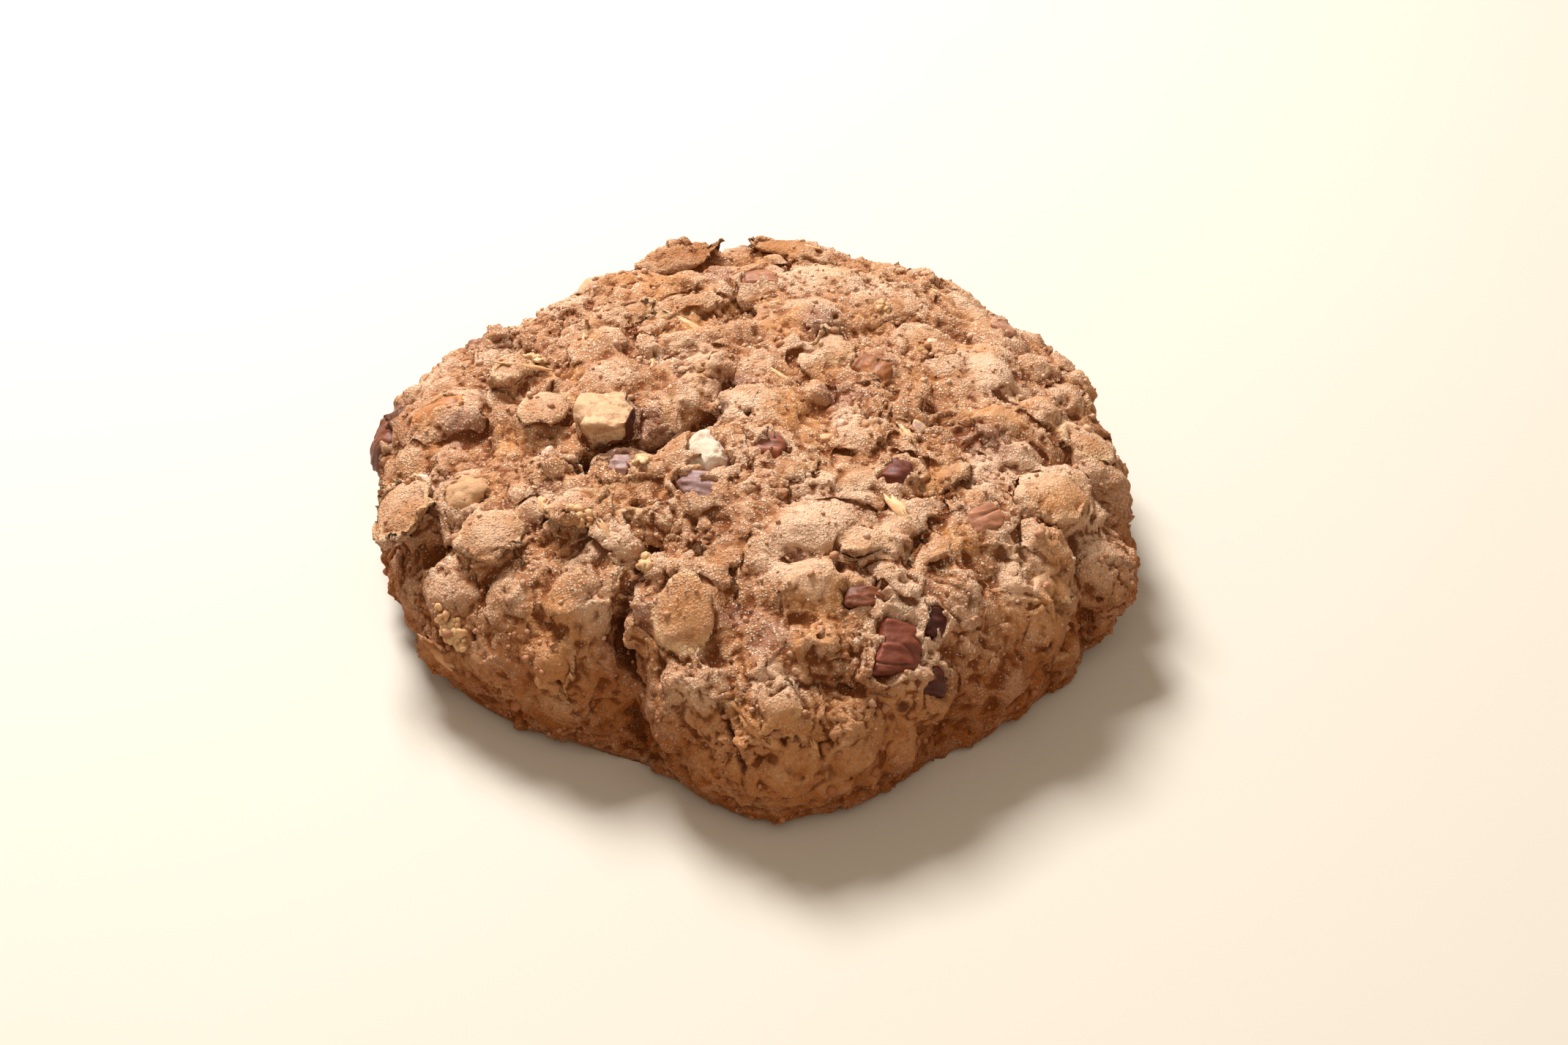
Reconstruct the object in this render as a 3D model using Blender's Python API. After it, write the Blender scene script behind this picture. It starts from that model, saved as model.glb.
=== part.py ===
"""Pecan cookie: a domed oatmeal dough round with oat lumps fused on and pecan pieces set in sockets.

Lengths are in millimetres until a mesh is written, where MM turns them into metres.
A place on the cookie is an azimuth in degrees (0 = +X, 90 = +Y, so 270 faces the viewer)
and a walk, the distance along the skin from the crown down to the base.
The origin is the middle of the flat underside.
"""
import math
import random
from collections import namedtuple

import bmesh
import bpy
import numpy as np
from mathutils import Matrix, Vector, noise

MM = 0.001

# ---- driving dimensions ----
CROWN_HEIGHT = 22.5       # skin at the middle
WAIST_HEIGHT = 7.0        # widest section
TUCK = 0.93               # base radius as a share of the rim radius
SHOULDER_OUT = 2.7        # above 2 the dome gets a broader top
SHOULDER_UP = 2.4         # above 2 the dome gets steeper sides
RIM_RADIUS = (42.0, 41.9, 42.2, 42.6, 43.2, 43.4, 43.2, 42.2,      # azimuth 0 to 105, each 15 degrees
              40.6, 40.0, 43.2, 44.3, 42.2, 41.7, 41.5, 40.0,      # 120 to 225
              37.8, 38.2, 43.0, 42.2, 39.7, 40.2, 41.6, 41.8)      # 240 to 345
CORE_DEPTH = 0.55         # bare dough lies this far under the skin that the lumps reach
CORE_SWELL = 0.7          # slow rise and fall of the bare dough
CORE_SWELL_WIDTH = 9.0
CORE_LEVEL_WALK = 5.0     # over this last stretch of the walk the bare dough runs out to the base's edge
COBBLE_SIZE = 4.6         # width of the dough's own cobbles
COBBLE_DEPTH = 0.8        # depth of the creases between them
COBBLE_WARP = 0.45        # how far the creases wander, as a share of a cobble
COBBLE_CREASE = 0.5       # width of a crease as a share of a cobble
SOCKET_GAP = 0.3          # clearance round each pecan piece
BASE_CLEAR = 0.4          # lumps stay this far above the flat underside
TANGENT_STEP = 0.3        # half the walk over which the skin's slope is taken
SEED = 20

# ---- mesh fineness ----
COLUMNS = 132             # core quads round the rim
ROW_STEP = 1.4            # core quad height
SURFACE_GRAIN = 0.55      # cell of the even mesh that the fused body is redrawn with
COOKIE_TRIANGLES = 8400
PECAN_TRIANGLES = 170     # a large piece; a small one takes half
PECAN_BIG = 5.2           # a longer piece counts as large
LUMP_FINENESS = 3         # subdivisions of the ball that a large lump or a pecan piece starts from
SMALL_LUMP_FINENESS = 2
SMALL_LUMP = 5.0          # a shorter filler lump counts as small
SHARP_ANGLE = 50          # degrees at which an edge is drawn sharp
WELD = 1e-7               # metres

Lump = namedtuple("Lump", "azimuth walk long wide thick rise turn lean")
# turn: 0 puts the long axis downhill, 90 along the rim; lean lifts the downhill edge; both in degrees
LUMPS = (
    # left side
    Lump(235.5, 35, 10.5, 8.0, 10.4, 1.5, 0, 4),
    Lump(213, 34, 8.0, 7.5, 8.0, 1.4, 20, 4),
    Lump(197, 40, 7.0, 9.5, 8.8, 2.0, -10, 14),
    Lump(184, 40, 7.0, 7.0, 7.2, 1.0, 60, 0),
    Lump(222, 26, 6.0, 5.0, 5.6, 1.2, 0, 12),
    Lump(214, 41.5, 8.0, 7.0, 8.0, 0.9, 70, 0),
    Lump(232, 27, 8.0, 3.5, 4.8, 0.9, 80, 6),
    Lump(204, 24, 6.5, 5.5, 6.4, 1.1, 40, 0),
    Lump(184, 23.5, 7.5, 6.5, 8.0, 1.5, 60, 6),
    Lump(166, 26.5, 7.5, 3.6, 6.4, 1.5, 82, 8),
    Lump(148, 21, 9.0, 8.0, 6.4, 1.0, 10, 0),
    Lump(150, 33.5, 5.5, 5.0, 7.2, 1.4, 0, 0),
    Lump(133, 25, 10.0, 4.0, 5.8, 1.1, 85, 8),
    Lump(135, 34, 8.0, 4.5, 6.4, 1.1, 88, 8),
    Lump(166, 15, 12.0, 9.0, 5.6, 0.6, 80, 0),
    Lump(236, 43.5, 6.5, 7.0, 8.0, 0.7, 0, 0),
    Lump(226, 46, 6.0, 8.5, 6.4, 0.6, 0, 0),
    # crown
    Lump(300, 1.5, 11.0, 9.0, 6.4, 0.9, 30, 0),
    Lump(113, 21.5, 8.5, 3.6, 5.4, 1.3, 88, 10),
    Lump(112, 26.5, 6.0, 4.0, 5.6, 1.1, 90, 6),
    Lump(119, 14, 8.5, 5.0, 4.8, 0.9, 70, 4),
    Lump(125, 9, 6.0, 4.0, 4.2, 0.9, 80, 0),
    Lump(96, 13, 5.5, 4.5, 4.8, 0.9, 30, 0),
    Lump(71, 18, 8.0, 7.0, 6.4, 1.0, 60, 0),
    Lump(47, 13, 6.5, 4.6, 4.8, 1.1, 80, 4),
    # front
    Lump(285, 21, 11.0, 8.0, 6.4, 1.2, 85, 6),
    Lump(281, 27.5, 10.5, 6.5, 7.2, 1.4, 86, 6),
    Lump(299, 26, 8.5, 4.6, 5.1, 1.3, 84, 6),
    Lump(272, 23, 5.0, 4.0, 4.8, 0.9, 0, 4),
    Lump(256.5, 34, 8.2, 8.0, 5.8, 1.4, 30, -6),
    Lump(255, 28, 8.0, 4.2, 6.4, 1.0, 86, 6),
    Lump(247, 33, 10.5, 3.6, 6.4, 0.9, 4, 0),
    Lump(279, 33.5, 6.5, 5.0, 6.4, 1.2, 80, 4),
    Lump(259, 40.5, 7.0, 6.5, 8.0, 1.2, 70, 0),
    Lump(256, 46, 8.5, 7.0, 9.6, 0.9, 0, 0),
    Lump(272, 44.5, 12.5, 13.0, 11.2, 0.6, 0, 0),
    Lump(273, 39.5, 5.5, 5.0, 6.4, 1.4, 20, 0),
    Lump(284, 45, 9.0, 8.0, 9.6, 0.9, 0, 0),
    Lump(297, 43, 8.0, 8.5, 8.0, 0.3, 0, 0),
    Lump(298, 31.5, 6.0, 5.5, 5.6, 1.0, 0, 0),
    # right side
    Lump(318.5, 41, 12.5, 8.0, 9.6, 1.4, -6, 0),
    Lump(327.5, 36.5, 8.5, 6.0, 8.0, 1.6, 20, 5),
    Lump(338, 34.5, 10.5, 7.0, 7.2, 1.5, 50, 6),
    Lump(338, 45, 9.5, 8.5, 9.6, 1.4, 0, 0),
    Lump(345, 34, 8.5, 4.0, 6.4, 0.9, 30, 0),
    Lump(308, 35.5, 7.5, 6.0, 6.4, 1.0, 0, 0),
    Lump(313, 30, 6.5, 4.0, 5.4, 1.1, 85, 4),
    Lump(313.5, 25, 6.5, 5.0, 5.4, 1.0, 80, 4),
    Lump(347, 29, 5.5, 4.0, 5.8, 1.0, 0, 0),
    Lump(353, 40, 9.0, 4.2, 6.4, 1.0, 0, 0),
    Lump(355, 26, 7.5, 7.0, 8.0, 1.7, 40, 4),
    Lump(3, 31.5, 6.0, 5.5, 6.4, 1.4, 0, 6),
    Lump(358, 37.5, 7.5, 6.0, 7.2, 1.4, 0, 4),
    Lump(15, 27, 8.5, 6.0, 5.6, 1.1, 60, 0),
    Lump(20, 41.5, 7.0, 4.0, 9.6, 1.7, 0, 0),
    Lump(20, 34, 5.0, 4.5, 6.4, 1.0, 0, 0),
    Lump(42, 34, 12.5, 3.6, 5.8, 1.0, 78, 6),
    # far side, crust crags along the rim
    Lump(57, 37, 6.0, 5.0, 8.0, 2.0, 60, 0),
    Lump(72, 27, 10.0, 6.0, 5.4, 0.9, 88, 4),
    Lump(84, 37, 11.0, 5.0, 6.4, 1.2, 88, 10),
    Lump(105, 36.5, 12.0, 5.0, 6.4, 1.5, 88, 10),
    Lump(120, 35, 8.0, 5.0, 6.4, 1.1, 88, 6),
)

Crease = namedtuple("Crease", "reach depth route")
# route: (azimuth, walk) stations along the bottom of the crease; reach is its half width
CREASES = (
    Crease(2.6, 3.2, ((206, 22), (209, 17), (212, 13), (208, 8), (190, 5), (150, 3.5), (122, 6))),
    Crease(2.0, 2.0, ((122, 6), (112, 10), (100, 14), (96, 19), (92, 24))),
    Crease(3.0, 4.2, ((243, 26), (245, 31), (244, 36), (246, 41), (249, 44))),
    Crease(2.0, 1.3, ((249, 44), (258, 37.5), (266, 38), (268, 33), (265, 27), (268, 22))),
    Crease(2.0, 1.5, ((272, 38), (280, 37.5), (288, 40), (294, 44))),
    Crease(1.5, 1.4, ((265, 41), (265.5, 44), (269, 47))),
    Crease(4.2, 3.6, ((246.5, 41), (248, 46), (249.5, 53))),
    Crease(3.2, 2.6, ((299, 46), (300, 50), (300, 55))),
    Crease(1.8, 1.3, ((281, 16), (290, 18), (300, 21), (308, 23), (304, 29), (292, 29))),
    Crease(2.2, 3.0, ((330, 30), (334, 37), (333, 42), (330, 47), (330, 52))),
    Crease(1.8, 1.7, ((322, 31), (325, 33), (326, 41))),
    Crease(2.0, 1.9, ((345, 24), (348, 30), (351, 35), (347, 41), (344, 48))),
    Crease(2.0, 1.8, ((10, 30), (8, 35), (352, 37), (358, 43))),
    Crease(2.0, 1.4, ((30, 20), (20, 20), (10, 20), (350, 20), (345, 15))),
    Crease(2.2, 1.7, ((55, 16), (50, 20), (44, 26), (30, 30), (28, 38))),
    Crease(1.8, 2.4, ((108, 33), (92, 32), (78, 31), (64, 33))),
    Crease(2.0, 1.8, ((190, 30), (175, 31), (160, 30), (148, 28), (136, 30))),
    Crease(2.2, 2.6, ((205, 34), (204, 40), (196, 45), (185, 46))),
    Crease(1.8, 1.4, ((222, 31), (216, 37), (206, 40))),
    Crease(1.8, 1.3, ((350, 7), (5, 9), (20, 9), (40, 6))),
)

Pecan = namedtuple("Pecan", "azimuth walk long wide thick rise turn lean skin boxy corners", defaults=((),))
# turn 0 points the long side to +X; boxy: 2 is round, 8 has a flat top and upright sides
# skin: share of the piece's top that keeps the furrowed brown skin, 0 for a piece broken all over
# corners: outline seen from outside, in millimetres, x along the long side, y across it
BLOCK = ((-2.9, -3.3), (2.5, -3.3), (3.5, 0.2), (2.5, 1.2), (3.0, 3.3), (-1.9, 3.4), (-3.6, -0.5))
SHARD = ((-1.9, -1.7), (0.2, -2.9), (2.5, -2.0), (2.0, 0.6), (0.2, 3.0), (-1.9, 1.0))
TILE = ((-2.2, 0.0), (-1.9, 2.0), (1.2, 2.0), (2.3, 0.5), (2.0, -2.0), (-0.4, -2.1))
CHIP = ((-1.3, -0.7), (-0.9, 1.5), (1.3, 1.4), (1.0, -1.7))
STUB = ((-1.6, -1.3), (-1.3, 1.8), (0.8, 1.8), (1.8, 0.3), (1.3, -1.8))
WEDGE = ((-1.7, -1.3), (-1.2, 1.8), (1.2, 1.6), (1.8, -0.3), (0.4, -1.9))
BAR = ((-2.0, -1.1), (-1.6, 1.0), (1.2, 1.5), (2.2, 0.7), (2.0, -0.8), (0.0, -1.4))
PANEL = ((-1.7, 2.8), (1.5, 2.7), (2.6, 0.5), (2.3, -2.2), (-1.4, -3.3), (-2.6, -3.3), (-2.0, -0.6))
SCRAP = ((-0.9, -1.6), (-1.3, 1.2), (0.9, 1.8), (1.4, 0.2), (1.2, -1.9))
TRIANGLE = ((-1.5, -1.2), (-0.2, 1.7), (0.7, 1.5), (1.8, -1.6))
PECANS = {
    "pecan_cream_left": Pecan(191, 16.6, 7.0, 6.8, 6.0, 1.7, 4, 4, 0.0, 7, BLOCK),
    "pecan_cream_crown": Pecan(240, 11.9, 4.8, 5.8, 4.2, 1.2, 6, -6, 0.0, 5, SHARD),
    "pecan_dark_crown": Pecan(247, 17.2, 4.5, 4.1, 3.4, 0.8, -14, -6, 1.0, 5, TILE),
    "pecan_small_left": Pecan(217, 18.2, 2.6, 3.2, 3.0, 0.6, -10, 0, 1.0, 4, CHIP),
    "pecan_crown_front": Pecan(280, 8.2, 3.4, 3.6, 3.2, 0.8, -12, 0, 1.0, 3.5, STUB),
    "pecan_red_right": Pecan(321, 19.4, 3.5, 3.7, 3.4, 0.8, -20, 0, 1.0, 4, WEDGE),
    "pecan_front_bar": Pecan(290.5, 31.0, 4.2, 2.9, 3.0, 0.9, 8, 0, 1.0, 3, BAR),
    "pecan_front_ridged": Pecan(293.3, 37.2, 5.2, 6.1, 4.4, 0.8, 0, 0, 1.0, 7, PANEL),
    "pecan_front_dark": Pecan(301.0, 36.8, 2.7, 3.7, 3.0, 0.6, 0, 0, 1.0, 6, SCRAP),
    "pecan_front_low": Pecan(297, 42.2, 3.3, 3.3, 3.0, 0.9, 0, 0, 1.0, 6, TRIANGLE),
    "pecan_lobe_right": Pecan(323, 30.0, 4.8, 4.4, 4.4, 1.4, 27, 0, 0.5, 3.2),
    "pecan_back_grey": Pecan(89, 24.2, 5.0, 3.8, 4.0, 0.7, 0, 0, 0.6, 3.2),
    "pecan_right_dark": Pecan(25, 14.0, 3.8, 6.0, 4.0, 0.9, 55, 6, 1.0, 3.2),
    "pecan_back_right": Pecan(33, 34.0, 3.6, 4.0, 3.8, 1.0, 33, 0, 0.7, 3.2),
    "pecan_left_round": Pecan(201, 33.6, 5.4, 5.2, 5.0, 1.3, 211, 6, 0.5, 3.2),
    "pecan_left_golden": Pecan(176, 35.0, 7.4, 3.6, 4.4, 1.4, 188, 0, 0.5, 3.2),
    "pecan_left_tip": Pecan(173, 43.6, 5.6, 6.4, 5.0, 1.4, 173, 0, 1.0, 3.2),
    "pecan_far_low": Pecan(78, 43.5, 4.4, 5.2, 4.0, 1.0, 98, 0, 1.0, 3.2),
    "pecan_far_left": Pecan(121, 42.0, 6.0, 4.4, 4.4, 1.1, 151, 0, 0.0, 3.2),
}
PECAN_ROUGHNESS = 0.10
FURROWS = 3               # furrows across a skinned piece
FURROW_DEPTH = 0.30
CHIPS_SKINNED = 1         # broken faces on a piece that keeps its skin
CHIPS_BROKEN = 3
CHIPS_PLAIN = 5           # broken faces on a piece without an outline of its own
CHIP_REACH = (0.80, 0.93)  # how far out a broken face lies, as a share of the piece's half size
WELL_SKINNED = 0.8        # share of skin above which a piece is chipped less

LUMP_BOXY = 2.2
LUMP_ROUGHNESS = 0.22

# filler lumps, largest first: (how many, size, rise)
FILLERS = ((40, 7.0, 0.45), (52, 5.0, 0.5), (70, 3.4, 0.55))
FILLER_TOP_WALK = 4.0     # nearest to the crown
FILLER_LOW_WALK = 51.0    # nearest to the base
FILLER_TRIES = 30         # tries for each lump
FILLER_GAP = 0.38         # distance kept from a neighbour, as a share of the lump's size
FILLER_CREASE_GAP = 0.35  # distance kept from a crease, as a share of the lump's size
LUMP_ROOM = 0.42          # room that a lump takes, as a share of its size
PECAN_ROOM = 0.62
CREASE_ROOM = 0.6         # room that a crease takes, as a share of its reach

DOUGH_COLOUR = (0.50, 0.24, 0.085, 1.0)
SKIN_COLOUR = (0.13, 0.045, 0.025, 1.0)
FLESH_COLOUR = (0.62, 0.38, 0.17, 1.0)


# ---- the skin: a lobed dome ----

def rim_radius(azimuth):
    """Smooth closed curve through RIM_RADIUS."""
    place = (azimuth % 360.0) / (360.0 / len(RIM_RADIUS))
    start = int(place)
    t = place - start
    a, b, c, d = (RIM_RADIUS[(start + k) % len(RIM_RADIUS)] for k in (-1, 0, 1, 2))
    return b + 0.5 * t * (c - a + t * (2 * a - 5 * b + 4 * c - d + t * (3 * (b - c) + d - a)))


def profile():
    """Walk, share of the rim radius and height, from the crown to the base."""
    mean_radius = sum(RIM_RADIUS) / len(RIM_RADIUS)
    upper = np.linspace(0.0, math.pi / 2, 400)
    lower = np.linspace(0.0, math.pi / 2, 100)[1:]
    share = np.concatenate([np.sin(upper) ** (2 / SHOULDER_OUT), TUCK + (1 - TUCK) * np.cos(lower)])
    dome = np.cos(upper).clip(0) ** (2 / SHOULDER_UP)
    height = np.concatenate([WAIST_HEIGHT + dome * (CROWN_HEIGHT - WAIST_HEIGHT),
                             WAIST_HEIGHT * (1 - np.sin(lower))])
    steps = np.hypot(np.diff(share) * mean_radius, np.diff(height))
    return np.concatenate([[0.0], np.cumsum(steps)]), share, height


WALKS, SHARES, HEIGHTS = profile()
FULL_WALK = float(WALKS[-1])


def skin_point(azimuth, walk):
    radius = float(np.interp(walk, WALKS, SHARES)) * rim_radius(azimuth)
    angle = math.radians(azimuth)
    height = float(np.interp(walk, WALKS, HEIGHTS))
    return Vector((radius * math.cos(angle), radius * math.sin(angle), height))


def skin_frame(azimuth, walk):
    """Downhill, along the rim and outward directions at a place on the skin."""
    walk = max(walk, 2 * TANGENT_STEP)
    above = skin_point(azimuth, walk - TANGENT_STEP)
    downhill = (skin_point(azimuth, walk + TANGENT_STEP) - above).normalized()
    along = (skin_point(azimuth + 0.5, walk) - skin_point(azimuth - 0.5, walk)).normalized()
    outward = downhill.cross(along).normalized()
    return downhill, outward.cross(downhill), outward


def seat(piece):
    """Matrix that lays a piece on the skin with its turn, lean and rise."""
    downhill, along, outward = skin_frame(piece.azimuth, piece.walk)
    middle = skin_point(piece.azimuth, piece.walk) + outward * (piece.rise - piece.thick / 2)
    basis = Matrix((downhill, along, outward)).transposed().to_4x4()
    turned = Matrix.Rotation(math.radians(piece.turn), 4, "Z")
    leaned = Matrix.Rotation(math.radians(-piece.lean), 4, "Y")
    return Matrix.Translation(middle) @ basis @ leaned @ turned


# ---- helpers for objects ----

def clear_scene():
    for item in list(bpy.data.objects):
        bpy.data.objects.remove(item, do_unlink=True)


def material(name, colour, roughness):
    made = bpy.data.materials.new(name)
    made.use_nodes = True
    shader = made.node_tree.nodes["Principled BSDF"]
    shader.inputs["Base Color"].default_value = colour
    shader.inputs["Roughness"].default_value = roughness
    shader.inputs["Metallic"].default_value = 0.0
    return made


def solid(name, mesh_data, collection, finish=None):
    """Write a bmesh in millimetres as an object in metres."""
    bmesh.ops.triangulate(mesh_data, faces=mesh_data.faces[:])
    bmesh.ops.recalc_face_normals(mesh_data, faces=mesh_data.faces[:])
    bmesh.ops.scale(mesh_data, vec=Vector((MM, MM, MM)), verts=mesh_data.verts[:])
    mesh = bpy.data.meshes.new(name)
    mesh_data.to_mesh(mesh)
    mesh_data.free()
    made = bpy.data.objects.new(name, mesh)
    collection.objects.link(made)
    if finish:
        mesh.materials.append(finish)
    return made


def new_collection(name):
    made = bpy.data.collections.new(name)
    bpy.context.scene.collection.children.link(made)
    return made


def apply_modifiers(target):
    evaluated = target.evaluated_get(bpy.context.evaluated_depsgraph_get())
    mesh = bpy.data.meshes.new_from_object(evaluated)
    target.modifiers.clear()
    target.data = mesh


def merge(target, others, operation):
    """One Boolean between the target and a whole collection, applied; the collection goes."""
    step = target.modifiers.new(operation.lower(), "BOOLEAN")
    step.operation = operation
    step.operand_type = "COLLECTION"
    step.collection = others
    step.solver = "MANIFOLD"
    apply_modifiers(target)
    for item in list(others.objects):
        bpy.data.objects.remove(item, do_unlink=True)
    bpy.data.collections.remove(others)


# ---- dough core ----

def crease_stations():
    """Points each millimetre along every crease, with its reach and depth."""
    points, reaches, depths = [], [], []
    for crease in CREASES:
        for (az_a, walk_a), (az_b, walk_b) in zip(crease.route, crease.route[1:]):
            turn = (az_b - az_a + 180) % 360 - 180
            start = skin_point(az_a, walk_a)
            end = skin_point(az_b, walk_b)
            count = max(2, int((end - start).length))
            for k in range(count + 1):
                share = k / count
                points.append(skin_point(az_a + turn * share, walk_a + (walk_b - walk_a) * share)[:])
                reaches.append(crease.reach)
                depths.append(crease.depth)
    return np.array(points), np.array(reaches), np.array(depths)


def crease_depth(place, stations):
    points, reaches, depths = stations
    gap = np.linalg.norm(points - np.array(place), axis=1) / reaches
    fall = np.clip(1 - gap * gap, 0, None) ** 2
    return float((fall * depths).max())


def cobble_depth(place):
    """Deepest where two cobbles meet."""
    shift = noise.noise_vector(place / COBBLE_SIZE) * COBBLE_WARP * COBBLE_SIZE
    near, next_near = noise.voronoi((place + shift) / COBBLE_SIZE)[0][:2]
    ridge = min(1.0, (next_near - near) / COBBLE_CREASE)
    return COBBLE_DEPTH * (1 - ridge) ** 2


def core_point(azimuth, walk, stations):
    place = skin_point(azimuth, walk)
    outward = skin_frame(azimuth, walk)[2]
    depth = CORE_DEPTH + crease_depth(place, stations) + cobble_depth(place)
    swell = CORE_SWELL * noise.noise(place / CORE_SWELL_WIDTH)
    keep = min(1.0, max(0.0, (FULL_WALK - walk) / CORE_LEVEL_WALK))
    moved = place - outward * (depth - swell) * keep
    moved.z = max(moved.z, 0.0 if walk >= FULL_WALK else BASE_CLEAR * 0.5)
    return moved


def dough_core(collection):
    """Rings from the crown to the base, then the flat underside."""
    stations = crease_stations()
    rows = int(FULL_WALK / ROW_STEP)
    made = bmesh.new()
    crown = made.verts.new(core_point(0, 0, stations))
    rings = []
    for row in range(1, rows + 1):
        walk = FULL_WALK * row / rows
        places = [core_point(360 * k / COLUMNS, walk, stations) for k in range(COLUMNS)]
        rings.append([made.verts.new(place) for place in places])
    base = made.verts.new((0, 0, 0))
    for k in range(COLUMNS):
        after = (k + 1) % COLUMNS
        made.faces.new((crown, rings[0][k], rings[0][after]))
        for inner, outer in zip(rings, rings[1:]):
            made.faces.new((inner[k], outer[k], outer[after], inner[after]))
        made.faces.new((rings[-1][k], base, rings[-1][after]))
    return solid("cookie", made, collection)


# ---- lumps and pecan pieces ----

def rounded_chunk(piece, fineness, boxy, rough, seed):
    """Closed lump between an ellipsoid and a box, with an uneven surface, around the origin."""
    made = bmesh.new()
    bmesh.ops.create_icosphere(made, subdivisions=fineness, radius=1.0)
    for vert in made.verts:
        way = vert.co.normalized()
        reach = sum(abs(c) ** boxy for c in way) ** (-1 / boxy)
        reach *= unevenness(way, rough, seed)
        vert.co = Vector((way.x * piece.long / 2, way.y * piece.wide / 2, way.z * piece.thick / 2)) * reach
    return made


def unevenness(way, rough, seed):
    drift = Vector((seed * 3.7, seed * 1.9, seed * 5.3))
    return 1 + rough * noise.noise(way * 1.6 + drift) + rough * 0.5 * noise.noise(way * 3.7 + drift)


def outline_reach(corners, across, up):
    """Distance from the middle to the outline in the direction (across, up)."""
    for (x_a, y_a), (x_b, y_b) in zip(corners, corners[1:] + corners[:1]):
        side_x, side_y = x_b - x_a, y_b - y_a
        turn = across * side_y - up * side_x
        if abs(turn) < WELD:
            continue
        reach = (x_a * side_y - y_a * side_x) / turn
        share = (x_a * up - y_a * across) / turn
        if reach > 0 and 0 <= share <= 1:
            return reach
    return 0.0


def outlined_chunk(piece, fineness, rough, seed):
    """Closed lump whose outline seen from outside is the piece's own, with a flat top, around the origin."""
    made = bmesh.new()
    bmesh.ops.create_icosphere(made, subdivisions=fineness, radius=1.0)
    for vert in made.verts:
        way = vert.co.normalized()
        flat = math.hypot(way.x, way.y)
        reach = (flat ** piece.boxy + abs(way.z) ** piece.boxy) ** (-1 / piece.boxy)
        reach *= unevenness(way, rough, seed)
        side = outline_reach(piece.corners, way.x / flat, way.y / flat) * reach if flat > WELD else 0.0
        vert.co = Vector((way.x * side, way.y * side, way.z * reach * piece.thick / 2))
    return made


def lump(piece, name, collection, fineness, seed):
    made = rounded_chunk(piece, fineness, LUMP_BOXY, LUMP_ROUGHNESS, seed)
    made.transform(seat(piece))
    for vert in made.verts:
        vert.co.z = max(vert.co.z, BASE_CLEAR)
    return solid(name, made, collection)


def furrow(made, piece):
    """Press grooves along the length of the skinned top."""
    for vert in made.verts:
        across = 2 * vert.co.y / piece.wide
        top = max(0.0, 2 * vert.co.z / piece.thick)
        vert.co.z += 0.5 * FURROW_DEPTH * piece.skin * top * (math.cos(math.pi * FURROWS * across) - 1)


def chip(made, piece, draw):
    """Break one flat face off a piece: what stands past a plane is pressed back to it."""
    way = Vector((draw.uniform(-1, 1), draw.uniform(-1, 1), draw.uniform(-0.3, 0.5 - 0.4 * piece.skin)))
    way.normalize()
    edge_point = Vector((way.x * piece.long, way.y * piece.wide, way.z * piece.thick)) / 2
    cut = edge_point * draw.uniform(*CHIP_REACH)
    for vert in made.verts:
        past = (vert.co - cut).dot(way)
        if past > 0:
            vert.co -= way * past


def pecan(name, piece, collection, finish, seed):
    """A chunk of kernel: furrowed along its length where the skin is left, chipped flat elsewhere."""
    if piece.corners:
        made = outlined_chunk(piece, LUMP_FINENESS, PECAN_ROUGHNESS, seed)
        chips = CHIPS_SKINNED if piece.skin > WELL_SKINNED else CHIPS_BROKEN
    else:
        made = rounded_chunk(piece, LUMP_FINENESS, piece.boxy, PECAN_ROUGHNESS, seed)
        chips = CHIPS_PLAIN
    draw = random.Random(SEED * 31 + seed)
    furrow(made, piece)
    for _ in range(chips):
        chip(made, piece, draw)
    made.transform(seat(piece._replace(turn=piece.turn - piece.azimuth)))
    item = solid(name, made, collection, finish)
    thin_out(item, PECAN_TRIANGLES if max(piece.long, piece.wide) > PECAN_BIG else PECAN_TRIANGLES // 2)
    return item


def pecans(collection, finishes):
    made = []
    for seed, (name, piece) in enumerate(PECANS.items()):
        finish = finishes["skin" if piece.skin > 0.5 else "flesh"]
        made.append(pecan(name, piece, collection, finish, seed))
    return made


def sockets(pieces):
    """Cutters: each pecan piece grown by the clearance."""
    made = new_collection("sockets")
    for item in pieces:
        grown = bmesh.new()
        grown.from_mesh(item.data)
        for vert in grown.verts:
            vert.co = vert.co / MM + vert.normal * SOCKET_GAP
        cutter = solid(item.name + "_socket", grown, made)
        cutter.hide_render = True
        cutter.display_type = "WIRE"
    return made


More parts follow.
